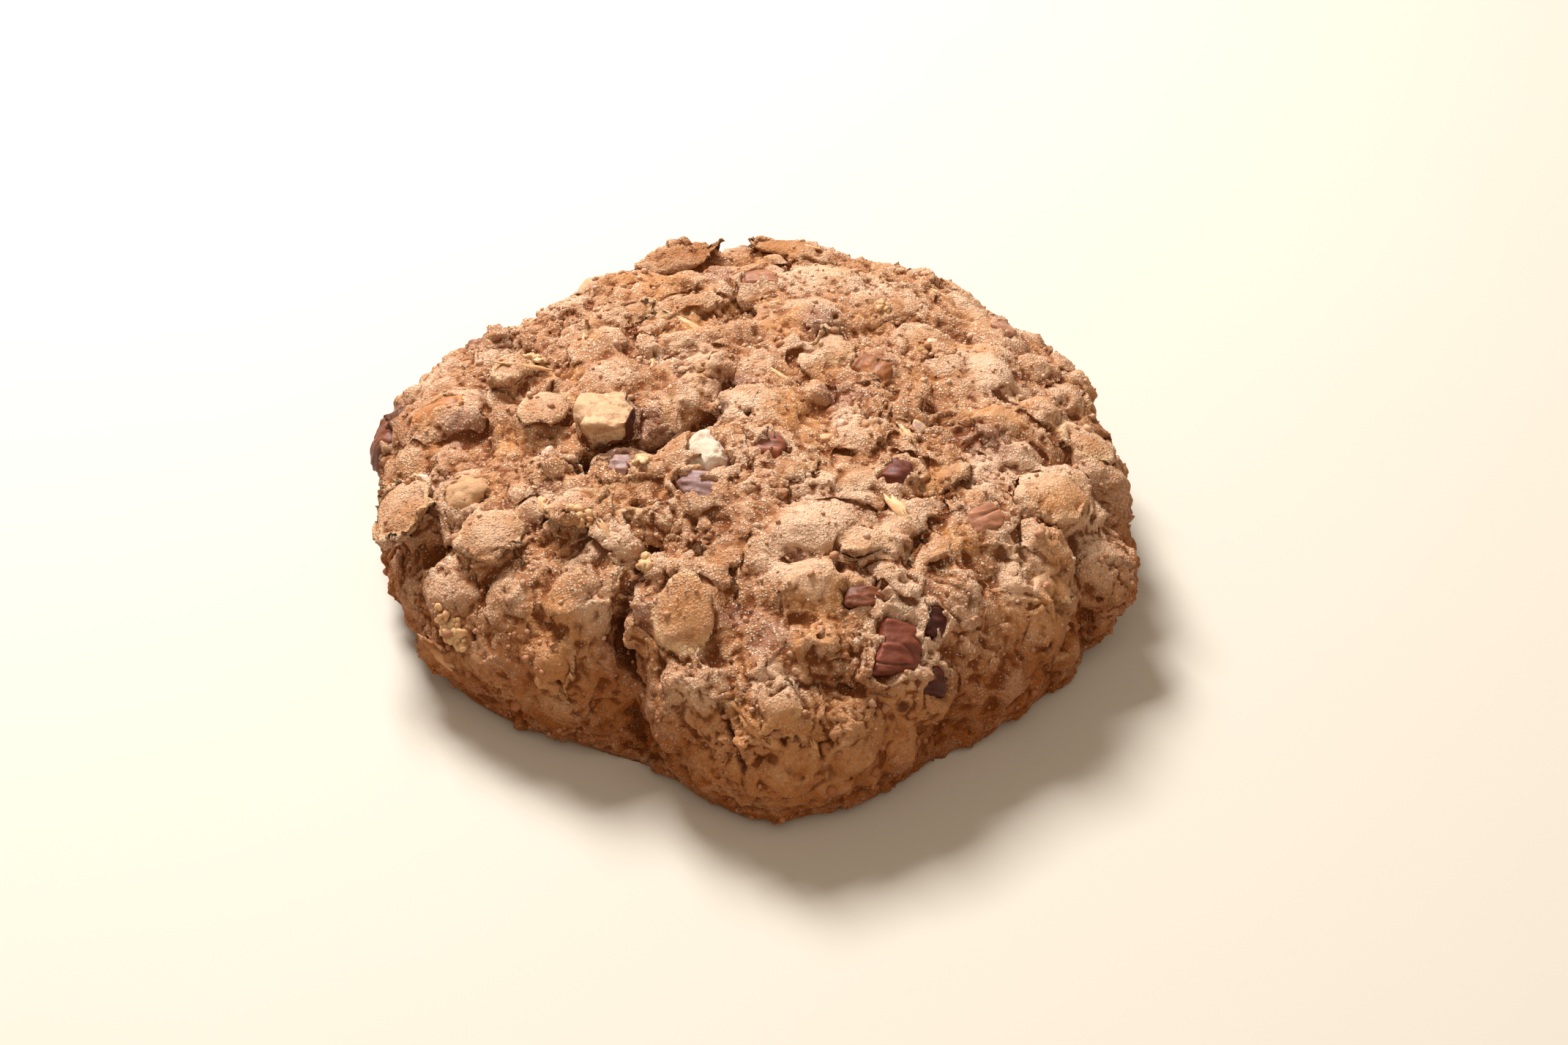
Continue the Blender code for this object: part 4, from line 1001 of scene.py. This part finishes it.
def make_oats(crust):
    """Bare flakes whose pale edges stand out of the crust, and clusters of clinging crumbs."""
    ground = Ground(crust)
    heap, tones = Heap(), []
    for seed, oat in enumerate(BARE_FLAKES):
        thick = min(0.7, 0.2 + 0.3 * oat.wide)
        points, faces = flake_form(oat.long, oat.wide, thick, BARE_FLAKE_SEED + seed, 0.7, 0.42)
        points[:, 2] += 0.05 * oat.wide * layered(points, 1.1, seed, 4)
        rise = oat.rise - BARE_SINK
        matrix = ground.seat(oat.azimuth, oat.walk, oat.turn, oat.lean, oat.roll, rise, 0.5)
        heap.add(moved(points, matrix), faces)
        reach = np.hypot(2 * points[:, 0] / oat.long, 2 * points[:, 1] / oat.wide)
        tones.append(np.stack([np.full(len(points), oat.pale), reach.clip(0, 1)], axis=1))
    for points, faces, pale in clinging_crumbs(ground):
        heap.add(points, faces)
        tones.append(np.stack([np.full(len(points), pale), np.zeros(len(points))], axis=1))
    made = heap.object("oat_flakes")
    write_points(made, fit_in_box(read_points(made)))
    tones = np.concatenate(tones)
    write_marks(made, "oat", tones[:, 0], tones[:, 1])
    made.data.shade_smooth()
    return made


def faceted(points, draw, count):
    """Press what stands past each of a number of planes back to it."""
    for _ in range(count):
        way = np.array([draw.gauss(0, 1) for _ in range(3)])
        way /= np.linalg.norm(way)
        past = (points @ way - draw.uniform(0.55, 0.80)).clip(0)
        points = points - past[:, None] * way
    return points


def make_crystals(crust):
    ground = Ground(crust)
    heap = Heap()
    points, faces = ball(3)
    for seed, crystal in enumerate(CRYSTALS):
        draw = random.Random(CRYSTAL_SEED + seed)
        rough = 1 + 0.40 * swell(points * 1.2 + seed * 5.1, 1, 8)[:, None]
        size = crystal.size / 2
        shape = faceted(points * rough, draw, 9) * (size, size * draw.uniform(0.7, 0.9), size * 0.7)
        turn = draw.uniform(0, 180)
        matrix = ground.seat(crystal.azimuth, crystal.walk, turn, 0, 0, -CRYSTAL_SINK, 0.6)
        heap.add(moved(shape, matrix), faces)
    made = heap.object("sugar_bits")
    write_points(made, fit_in_box(read_points(made)))
    made.data.shade_smooth()
    return made


def make_crumbs(crust, sizes):
    """Grains baked onto the crust."""
    draw = random.Random(CRUMB_SEED)
    ground = Ground(crust)
    heap, tones = Heap(), []
    points, faces = ball(1)
    made = 0
    while made < sizes.crumb_count:
        azimuth, walk = draw.uniform(0, ALL_ROUND), CRUMB_REACH * math.sqrt(draw.uniform(0.001, 1))
        hit, normal = ground.under(azimuth, walk)
        if not far_from_kernels(hit, 2.6):
            continue
        size = 0.20 * math.exp(draw.gauss(0.0, 0.40))
        shape = points * [size * draw.uniform(0.7, 1.25) for _ in range(3)]
        shape = shape * np.array([[draw.uniform(0.8, 1.2)] for _ in points])
        angle = draw.uniform(0, 6.28)
        axis = Vector((draw.gauss(0, 1), draw.gauss(0, 1), draw.gauss(0, 1)))
        turn = Matrix.Rotation(angle, 4, axis)
        heap.add(moved(shape, Matrix.Translation(hit + normal * size * 0.25) @ turn), faces)
        tones.append(np.full(len(points), draw.random()))
        made += 1
    crumbs = heap.object("crumbs")
    write_points(crumbs, fit_in_box(read_points(crumbs)))
    points, normals = read_points(crumbs), read_normals(crumbs)
    write_marks(crumbs, "grain", np.concatenate(tones), browning_and_shade(points, normals))
    crumbs.data.shade_smooth()
    return crumbs


# ---- pecan pieces ----

def make_kernel(name, kernel):
    """A broken piece of pecan: furrowed skin where it is left, layered flesh elsewhere."""
    heap = Heap()
    heap.add_mesh(frame["nodes"][name], KERNEL_COAT)
    piece = heap.object(name + "_dressed")
    even_out(piece, KERNEL_CELL)
    points, normals, edges = read_points(piece), read_normals(piece), read_edges(piece)
    points = settled(points, edges, 2)
    downhill, along, outward = dome_frame(kernel.azimuth, kernel.walk)
    turn = Matrix.Rotation(math.radians(kernel.turn - kernel.azimuth), 3, outward)
    axes = np.array([(turn @ downhill)[:], (turn @ along)[:], outward[:]])
    local = (points - points.mean(axis=0)) @ axes.T
    facing = normals @ axes.T
    salt = int(kernel.azimuth)
    ragged = 0.35 * swell(local, 1.8, salt) + 0.15 * swell(local, 0.6, salt + 9)
    skin = ease(facing[:, 2] + ragged, 0.95 - 1.7 * kernel.skin, 1.10 - 1.7 * kernel.skin)
    if kernel.skin < 0.05:
        skin = ease(normals[:, 0] + ragged, 0.60, 0.72)
    stretched = local * (0.40, 1.0, 1.0)
    groove = np.abs(swell(stretched, 1.9, salt + 1))
    furrows = -0.22 * kernel.ridges * (1 - ease(groove, 0.0, 0.30))
    wrinkles = 0.20 * layered(warped(local * (0.28, 1.0, 1.0), 1.5, 0.3, salt + 12), 0.75, salt + 2, 3)
    ledges = np.abs(swell(warped(points * (0.30, 1.0, 0.8), 1.6, 0.35, salt), 2.0, salt + 3))
    broken = 1.25 * (ledges - 0.3) + 0.34 * layered(local, 1.2, salt + 4, 4)
    height = skin * (furrows + wrinkles) + (1 - skin) * broken
    points = points + normals * height[:, None]
    write_points(piece, fit_in_box(points))
    dip = hollowness(points, read_normals(piece), edges, 6, 0.12)
    write_marks(piece, "kernel", skin, ease(swell(stretched, 2.6, salt + 6), -0.5, 0.5), dip)
    write_marks(piece, "hide", *(linear(channel) for channel in kernel.hide))
    write_marks(piece, "flesh", *(linear(channel) for channel in kernel.flesh))
    piece.data.shade_smooth()
    return piece


# ---- colours and materials ----

def linear(channel):
    """A channel of 0 to 255 as light."""
    share = channel / 255
    return share / 12.92 if share <= 0.04045 else ((share + 0.055) / 1.055) ** 2.4


def colour(name, text, red, green, blue):
    return FloatVectorProperty(name=name, description=text, subtype="COLOR", size=3, min=0.0, max=1.0,
                               default=(linear(red), linear(green), linear(blue)))


class Value:
    """A socket that takes part in sums: each operator adds its Math node."""

    def __init__(self, recipe, socket):
        self.recipe, self.socket = recipe, socket

    def maths(self, operation, *values, clamped=False):
        return self.recipe.node("ShaderNodeMath", {"operation": operation, "use_clamp": clamped},
                                dict(enumerate(values)))

    def __add__(self, other):
        return self.maths("ADD", self, other)

    def __sub__(self, other):
        return self.maths("SUBTRACT", self, other)

    def __rsub__(self, other):
        return self.maths("SUBTRACT", other, self)

    def __mul__(self, other):
        return self.maths("MULTIPLY", self, other)

    __radd__ = __add__
    __rmul__ = __mul__

    def clamped(self):
        return self.maths("ADD", self, 0.0, clamped=True)

    def between(self, low, high):
        """0 below low, 1 above high, smooth between."""
        return self.recipe.node("ShaderNodeMapRange", {"interpolation_type": "SMOOTHSTEP"},
                                {"Value": self, "From Min": low, "From Max": high})


class Recipe:
    """A material and the nodes in it."""

    def __init__(self, name):
        self.material = bpy.data.materials.new(name)
        self.material.use_nodes = True
        self.tree = self.material.node_tree
        self.tree.nodes.clear()

    def node(self, kind, settings=None, sockets=None, out=0):
        """Add a node: its settings first, then values or links for its sockets."""
        made = self.tree.nodes.new(kind)
        for key, value in (settings or {}).items():
            setattr(made, key, value)
        for key, value in (sockets or {}).items():
            if isinstance(value, Value):
                self.tree.links.new(value.socket, made.inputs[key])
            else:
                made.inputs[key].default_value = value
        return Value(self, made.outputs[out]) if made.outputs else None

    def place(self):
        return self.node("ShaderNodeTexCoord", out="Object")

    def marks(self, name):
        """The three numbers that write_marks kept under a name."""
        kept = self.node("ShaderNodeAttribute", {"attribute_name": name})
        split = self.node("ShaderNodeSeparateColor", {}, {0: kept})
        return [Value(self, split.socket.node.outputs[k]) for k in range(3)]

    def noise(self, width, detail=2.0, rough=0.5, warp=0.0):
        """Noise whose lumps are about width millimetres across."""
        return self.node("ShaderNodeTexNoise", {},
                         {"Vector": self.place(), "Scale": 1 / (width * MM), "Detail": detail,
                          "Roughness": rough, "Distortion": warp})

    def shaken(self, reach, width):
        """The place, moved about by up to reach millimetres in lumps of the given width."""
        sockets = {"Vector": self.place(), "Scale": 1 / (width * MM)}
        way = self.node("ShaderNodeTexNoise", {}, sockets, "Color")
        return self.node("ShaderNodeVectorMath", {"operation": "MULTIPLY_ADD"},
                         {0: way, 1: (reach * MM,) * 3, 2: self.place()})

    def seeds(self, width, out="Distance"):
        """Distance to the nearest of a scatter of seeds about width millimetres apart, or its own colour."""
        return self.node("ShaderNodeTexVoronoi", {},
                         {"Vector": self.shaken(0.9 * width, 1.1 * width), "Scale": 1 / (width * MM)}, out)

    def mix(self, factor, first, second, blend="MIX"):
        return self.node("ShaderNodeMix", {"data_type": "RGBA", "blend_type": blend},
                         {"Factor": factor, 6: rgba(first), 7: rgba(second)}, 2)

    def bump(self, height, depth, below=None):
        """Bump of the given depth in millimetres."""
        sockets = {"Height": height, "Distance": depth * MM, "Strength": 1.0}
        if below:
            sockets["Normal"] = below
        return self.node("ShaderNodeBump", {}, sockets)

    def finish(self, fixed, **linked):
        """Principled shader with fixed values, and links for what varies."""
        sockets = {key.replace("_", " "): value for key, value in linked.items()}
        shader = self.node("ShaderNodeBsdfPrincipled", {}, {**fixed, **sockets})
        self.node("ShaderNodeOutputMaterial", {}, {"Surface": shader})
        return self.material


def rgba(value):
    return value if isinstance(value, Value) else (*value[:3], 1.0)


def crust_material(colours):
    r = Recipe("baked_crust")
    fine, broad, cut = r.marks("relief")
    flat, rim, brown_and_shade = r.marks("cover")
    amber, cream, mauve = r.marks("tint")
    patches = r.noise(10, 3, 0.6, 0.4).between(0.36, 0.66)
    blotches = r.noise(2.8, 4, 0.65, 0.6).between(0.35, 0.70)
    toasted = r.noise(4.4, 3, 0.6, 0.5).between(0.54, 0.70)
    dusty = r.noise(5.2, 3, 0.6, 0.4).between(0.58, 0.72)
    sand = r.seeds(0.30)
    lot = r.node("ShaderNodeSeparateColor", {}, {0: r.seeds(0.30, "Color")})
    # pale sugar grains, crowded on the crests as painted highlight
    crest = (1 - fine.between(0.30, 0.62)) * (0.45 + 0.55 * r.noise(1.3, 2).between(0.36, 0.60))
    grains = (1 - sand.between(0.08, 0.55)) * (lot + crest * 0.9 - 0.30).between(0.20, 0.62)
    base = r.mix(patches * 0.50 + blotches * 0.35, colours.crust_tan, colours.crust_gold)
    # sugar bloom and painted sheen on the crests
    bloom_and_sheen = (1 - broad.between(0.34, 0.52)) * r.noise(5.0, 3, 0.6).between(0.36, 0.60)
    base = r.mix((bloom_and_sheen * 0.60).clamped(), base, colours.crust_frost_and_sheen)
    # oven colour on the flanks, partly painted shade
    base = r.mix((brown_and_shade * (0.62 + 0.45 * blotches)).clamped(), base, colours.crust_brown_and_shade)
    # painted shade in the broad dips between the lumps, browner on the flanks
    dips = r.mix(brown_and_shade.clamped(), colours.dip_shade, colours.crust_brown_and_shade)
    base = r.mix((broad.between(0.46, 0.82) * 0.76).clamped(), base, dips)
    base = r.mix(((amber * 0.70 + toasted * 0.45) * (1 - 0.35 * brown_and_shade)).clamped(), base, colours.crust_amber)
    base = r.mix(((mauve * 0.70 + dusty * 0.20) * (1 - 0.30 * brown_and_shade)).clamped(), base, colours.crust_mauve)
    chalk = r.mix((brown_and_shade * 0.9).clamped(), colours.crust_frost_and_sheen, colours.crust_amber)
    base = r.mix((cream * 0.70 * (1 - 0.50 * brown_and_shade)).clamped(), base, chalk)
    # painted shade in the bottoms of the small dips
    base = r.mix((fine.between(0.46, 0.84) * 0.85).clamped(), base, colours.crease_shade)
    base = r.mix((flat * 0.22 * (1 - 0.5 * brown_and_shade)).clamped(), base, colours.crust_amber)
    base = r.mix((rim * 0.70 * (1 - 0.4 * brown_and_shade)).clamped(), base, colours.oat_cream)
    # painted highlight on the grains, golden on the flanks
    lit = r.mix((brown_and_shade * 0.6).clamped(), colours.crust_pale_and_highlight, colours.crust_gold)
    light = r.mix((0.95 * (1 - brown_and_shade * 0.50) * (1 - 0.45 * amber) * (1 - 0.65 * flat)).clamped(), base, lit)
    base = r.mix(grains, base, light)
    # painted shade in the pores between the grains
    pore_shade = sand.between(0.55, 0.90) * r.noise(1.7, 2).between(0.40, 0.6)
    base = r.mix((pore_shade * 0.50).clamped(), base, colours.crust_brown_and_shade)
    # painted shade inside pits, cracks, gullies and dips, and the dark caramel of the toffee patches
    base = r.mix(cut.between(0.15, 0.85) * 0.85, base, colours.crack_shade_and_caramel)
    # painted glints on single sugar grains
    own = r.node("ShaderNodeSeparateColor", {}, {0: r.seeds(0.46, "Color")})
    glint = own.between(0.955, 0.97) * (1 - r.seeds(0.46).between(0.15, 0.35)) * (1 - fine.between(0.45, 0.6))
    base = r.mix((glint * 0.6 * (1 - brown_and_shade * 0.85)).clamped(), base, colours.painted_glint)
    rough = (0.80 - 0.35 * glint - 0.12 * amber).clamped()
    crumb = r.bump(r.noise(0.9, 5, 0.72), 0.34)
    grit = r.bump((1 - sand.between(0.0, 0.7)) * lot * (1 - 0.5 * amber), 0.26, crumb)
    return r.finish({"IOR": 1.45, "Specular IOR Level": 0.14, "Subsurface Weight": 0.10,
                     "Subsurface Radius": (0.0016, 0.0008, 0.0004), "Subsurface Scale": 0.6},
                    Base_Color=base, Roughness=rough, Normal=grit)


def oat_material(colours):
    r = Recipe("bare_oat")
    tone, edge, _ = r.marks("oat")
    fibres = r.node("ShaderNodeTexNoise", {}, {"Vector": r.place(), "Scale": 1400.0, "Detail": 3.0})
    grains = fibres.between(0.35, 0.68)
    base = r.mix((tone * 0.8 + edge * 0.3 - grains * 0.25).clamped(), colours.oat_toasted, colours.oat_cream)
    base = r.mix(r.noise(1.6, 3).between(0.45, 0.7) * (1 - tone * 0.7) * 0.6, base, colours.crust_gold)
    normal = r.bump(fibres, 0.10)
    return r.finish({"Roughness": 0.62, "Specular IOR Level": 0.4, "Subsurface Weight": 0.2,
                     "Subsurface Radius": (0.0014, 0.0008, 0.0004), "Subsurface Scale": 0.6},
                    Base_Color=base, Normal=normal)


def crystal_material(colours):
    r = Recipe("sugar_bit")
    haze = r.noise(0.7, 3).between(0.4, 0.65)
    base = r.mix(haze, colours.sugar_lilac, colours.oat_cream)
    return r.finish({"Roughness": 0.42, "Subsurface Weight": 0.3, "Subsurface Scale": 0.6,
                     "Subsurface Radius": (0.0012, 0.0010, 0.0008)},
                    Base_Color=base, Normal=r.bump(r.noise(0.4, 3), 0.10))


def crumb_material(colours):
    r = Recipe("crumb")
    own, brown_and_shade, _ = r.marks("grain")
    base = r.mix(own.between(0.3, 1.0) * 0.4, colours.crust_tan, colours.crust_pale_and_highlight)
    # oven colour, partly painted shade on the low flanks
    base = r.mix((brown_and_shade * 0.85).clamped(), base, colours.crust_brown_and_shade)
    return r.finish({"Roughness": 0.7, "Specular IOR Level": 0.4}, Base_Color=base,
                    Normal=r.bump(r.noise(0.25, 2), 0.05))


def kernel_material(colours):
    r = Recipe("pecan")
    skin, cloud, dip = r.marks("kernel")
    flesh = r.node("ShaderNodeAttribute", {"attribute_name": "flesh"})
    hide = r.node("ShaderNodeAttribute", {"attribute_name": "hide"})
    streaks = r.noise(0.8, 4, 0.7, 0.8).between(0.35, 0.68)
    hide = r.mix((1 - cloud) * 0.65, hide, r.mix(1.0, hide, (0.42, 0.34, 0.32), "MULTIPLY"))
    hide = r.mix(streaks * 0.35, hide, r.mix(1.0, hide, (1.35, 1.35, 1.35), "MULTIPLY"))
    # painted sheen on the ridges of the skin
    hide = r.mix((1 - dip.between(0.20, 0.48)) * 0.45, hide, r.mix(1.0, hide, (1.9, 1.9, 1.9), "MULTIPLY"))
    # painted shade in the furrows of the skin
    hide = r.mix(dip.between(0.52, 0.95) * 0.75, hide, colours.furrow_shade)
    flesh = r.mix(streaks * 0.30, flesh, r.mix(1.0, flesh, (0.80, 0.66, 0.50), "MULTIPLY"))
    # painted shade in the dips of the broken flesh
    flesh = r.mix(dip.between(0.48, 0.85) * 0.75, flesh, r.mix(1.0, flesh, (0.60, 0.42, 0.28), "MULTIPLY"))
    base = r.mix(skin, flesh, hide)
    rough = 0.60 - 0.16 * skin + 0.15 * streaks
    wrinkles = r.bump(r.noise(0.35, 4, 0.7) * (1.6 - skin), 0.09)
    return r.finish({"Specular IOR Level": 0.30, "Subsurface Weight": 0.12, "Subsurface Scale": 0.6,
                     "Subsurface Radius": (0.0014, 0.0008, 0.0004)},
                    Base_Color=base, Roughness=rough, Normal=wrinkles)


def floor_material(colours):
    r = Recipe("pale_floor")
    base = r.mix(r.noise(40, 3).between(0.3, 0.7) * 0.06, colours.floor, (0.60, 0.56, 0.50))
    return r.finish({"Roughness": 0.75}, Base_Color=base)


def dress(item, material, slot, *nodes):
    """Give a finished piece its material, hang it on the root body and hide the CAD parts that it takes the
    place of.
    """
    item.data.materials.clear()
    item.data.materials.append(material)
    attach(item, "root")
    if nodes:
        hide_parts(*nodes)


# ---- settings ----

def length(name, text, default):
    return FloatProperty(name=name, description=text, default=default * MM, min=0.0,
                         unit="LENGTH", precision=5)


def count(name, text, default, least=0):
    return IntProperty(name=name, description=text, default=default, min=least)


def strength(name, text):
    return FloatProperty(name=name, description=text, default=1.0, min=0.0)


class CookieSizes(bpy.types.PropertyGroup):
    crust_cell: length("Crust cell", "Width of one face of the crust before it is thinned out", 0.31)
    flake_length: length("Flake length", "Usual length of a crusted oat flake", 6.4)
    flake_count: count("Flakes", "How many crusted oat flakes", 34)
    clump_count: count("Clumps", "How many small dough clumps", 110)
    crumb_count: count("Crumbs", "How many grains are baked on", 1600)
    crust_triangles: count("Crust triangles", "Triangles of the crust", 196000, 1000)
    relief_depth: strength("Relief", "Strength of the crumbly relief")
    crack_depth: strength("Cracks", "Strength of pits and cracks")


class CookieColours(bpy.types.PropertyGroup):
    crust_tan: colour("Tan crust", "Baked crust on the plateau", 182, 130, 94)
    crust_gold: colour("Golden crust", "Warmer patches of the crust", 180, 122, 76)
    crust_amber: colour("Amber crust", "Toasted patches where oats show through", 188, 128, 76)
    crust_mauve: colour("Dusty crust", "Greyish patches near the nuts", 156, 112, 94)
    # browned flanks, partly painted shade, and the colour of the painted shade in dips and pores
    crust_brown_and_shade: colour("Browned crust", "Flanks and dips of the crust", 146, 76, 20)
    # painted shade in the dips between the lumps of the plateau
    dip_shade: colour("Dips", "Dips between the lumps of the plateau", 146, 94, 62)
    # painted shade in the bottoms of the crust's small dips
    crease_shade: colour("Deep crust", "Bottoms of the crust's small dips", 110, 52, 12)
    # pale sugar grains, also painted highlight crowded on the crests
    crust_pale_and_highlight: colour("Sugared crust", "Pale grains on the crests", 246, 216, 186)
    # sugar bloom, also painted sheen on the crests
    crust_frost_and_sheen: colour("Frosted crust", "Sugary bloom on the highest lumps", 220, 180, 148)
    # painted glints on single sugar grains
    painted_glint: colour("Sugar glints", "Single bright grains", 250, 236, 220)
    # painted shade inside pits and cracks, also the dark caramel of the toffee patches
    crack_shade_and_caramel: colour("Cracks", "Inside of pits and cracks", 78, 34, 8)
    oat_cream: colour("Oat cream", "Bare edges of oat flakes", 232, 190, 140)
    oat_toasted: colour("Toasted oat", "Browned faces of oat flakes", 178, 114, 62)
    sugar_lilac: colour("Sugar bits", "Glassy pale bits", 204, 168, 150)
    # painted shade in the furrows of the pecan skin
    furrow_shade: colour("Dark skin", "Furrows of the pecan skin", 52, 20, 14)
    floor: colour("Floor", "The pale floor", 200, 189, 174)


# ---- steps ----

class COOKIE_OT_crust(bpy.types.Operator):
    """Make the crust of the cookie"""
    bl_idname = "cookie.crust"
    bl_label = "Crust"

    def execute(self, context):
        crust = make_crust(context.scene.cookie_sizes)
        dress(crust, crust_material(context.scene.cookie_colours), "dough", "cookie")
        return {"FINISHED"}


class COOKIE_OT_oats(bpy.types.Operator):
    """Lay bare oat flakes and sugar bits on the crust"""
    bl_idname = "cookie.oats"
    bl_label = "Oat flakes"

    def execute(self, context):
        crust = bpy.data.objects["crust"]
        colours = context.scene.cookie_colours
        dress(make_oats(crust), oat_material(colours), "dough", "cookie")
        dress(make_crystals(crust), crystal_material(colours), "dough", "cookie")
        return {"FINISHED"}


class COOKIE_OT_crumbs(bpy.types.Operator):
    """Bake grains onto the crust"""
    bl_idname = "cookie.crumbs"
    bl_label = "Crumbs"

    def execute(self, context):
        crumbs = make_crumbs(bpy.data.objects["crust"], context.scene.cookie_sizes)
        dress(crumbs, crumb_material(context.scene.cookie_colours), "dough", "cookie")
        return {"FINISHED"}


class COOKIE_OT_kernels(bpy.types.Operator):
    """Make the pecan pieces"""
    bl_idname = "cookie.kernels"
    bl_label = "Pecan pieces"

    def execute(self, context):
        finish = kernel_material(context.scene.cookie_colours)
        for name, kernel in KERNELS.items():
            slot = "pecan_skin" if kernel.skin > 0.5 else "pecan_flesh"
            dress(make_kernel(name, kernel), finish, slot, name)
        return {"FINISHED"}


class COOKIE_OT_stage(bpy.types.Operator):
    """Set up the floor, the lights and the camera"""
    bl_idname = "cookie.stage"
    bl_label = "Stage"

    def execute(self, context):
        make_floor(context)
        for light in LIGHTS:
            make_light(*light)
        make_room(context)
        context.scene.view_settings.view_transform = "Standard"
        make_camera(context)
        return {"FINISHED"}


def make_floor(context):
    made = bmesh.new()
    bmesh.ops.create_grid(made, x_segments=8, y_segments=8, size=FLOOR_HALF_WIDTH)
    mesh = bpy.data.meshes.new("floor")
    made.to_mesh(mesh)
    made.free()
    floor = bpy.data.objects.new("floor", mesh)
    context.scene.collection.objects.link(floor)
    mesh.materials.append(floor_material(context.scene.cookie_colours))


def make_room(context):
    """Soft light from all round."""
    world = bpy.data.worlds.new("soft_room")
    world.use_nodes = True
    sockets = world.node_tree.nodes["Background"].inputs
    sockets["Color"].default_value = ROOM_TONE
    sockets["Strength"].default_value = ROOM_STRENGTH
    context.scene.world = world


def make_light(name, place, size, power, tone):
    data = bpy.data.lights.new(name, "AREA")
    data.energy, data.size, data.color = power, size, tone
    light = bpy.data.objects.new(name, data)
    light.location = place
    light.rotation_euler = (-Vector(place)).to_track_quat("-Z", "Y").to_euler()
    bpy.context.scene.collection.objects.link(light)


def make_camera(context):
    """The photograph's view: 40 degrees above level, from the side of the front lobe."""
    data = bpy.data.cameras.new("camera")
    data.lens, data.sensor_width = LENS, SENSOR_WIDTH
    data.shift_x, data.shift_y = SHIFT_RIGHT / PHOTO_WIDTH, SHIFT_UP / PHOTO_WIDTH
    data.clip_start = 0.01
    height = math.radians(VIEW_HEIGHT)
    camera = bpy.data.objects.new("camera", data)
    away = Vector((0, -math.cos(height), math.sin(height)))
    camera.location = Vector((0, 0, AIM_HEIGHT)) + away * VIEW_DISTANCE
    camera.rotation_euler = (math.pi / 2 - height, 0, 0)
    context.scene.collection.objects.link(camera)
    context.scene.camera = camera


STEPS = (COOKIE_OT_crust, COOKIE_OT_oats, COOKIE_OT_crumbs, COOKIE_OT_kernels, COOKIE_OT_stage)


class COOKIE_PT_panel(bpy.types.Panel):
    """Settings and steps of the cookie"""
    bl_idname = "COOKIE_PT_panel"
    bl_label = "Pecan cookie"
    bl_space_type = "VIEW_3D"
    bl_region_type = "UI"
    bl_category = "Cookie"

    def draw(self, context):
        for group in (context.scene.cookie_sizes, context.scene.cookie_colours):
            for name in group.__annotations__:
                self.layout.prop(group, name)
        for step in STEPS:
            self.layout.operator(step.bl_idname)


CLASSES = (CookieSizes, CookieColours, *STEPS, COOKIE_PT_panel)


def register():
    for kind in CLASSES:
        bpy.utils.register_class(kind)
    bpy.types.Scene.cookie_sizes = PointerProperty(type=CookieSizes)
    bpy.types.Scene.cookie_colours = PointerProperty(type=CookieColours)


def unregister():
    del bpy.types.Scene.cookie_colours
    del bpy.types.Scene.cookie_sizes
    for kind in reversed(CLASSES):
        bpy.utils.unregister_class(kind)


def main():
    register()
    bpy.ops.cookie.crust()
    bpy.ops.cookie.oats()
    bpy.ops.cookie.crumbs()
    bpy.ops.cookie.kernels()
    bpy.ops.cookie.stage()


if __name__ == "__main__":
    main()
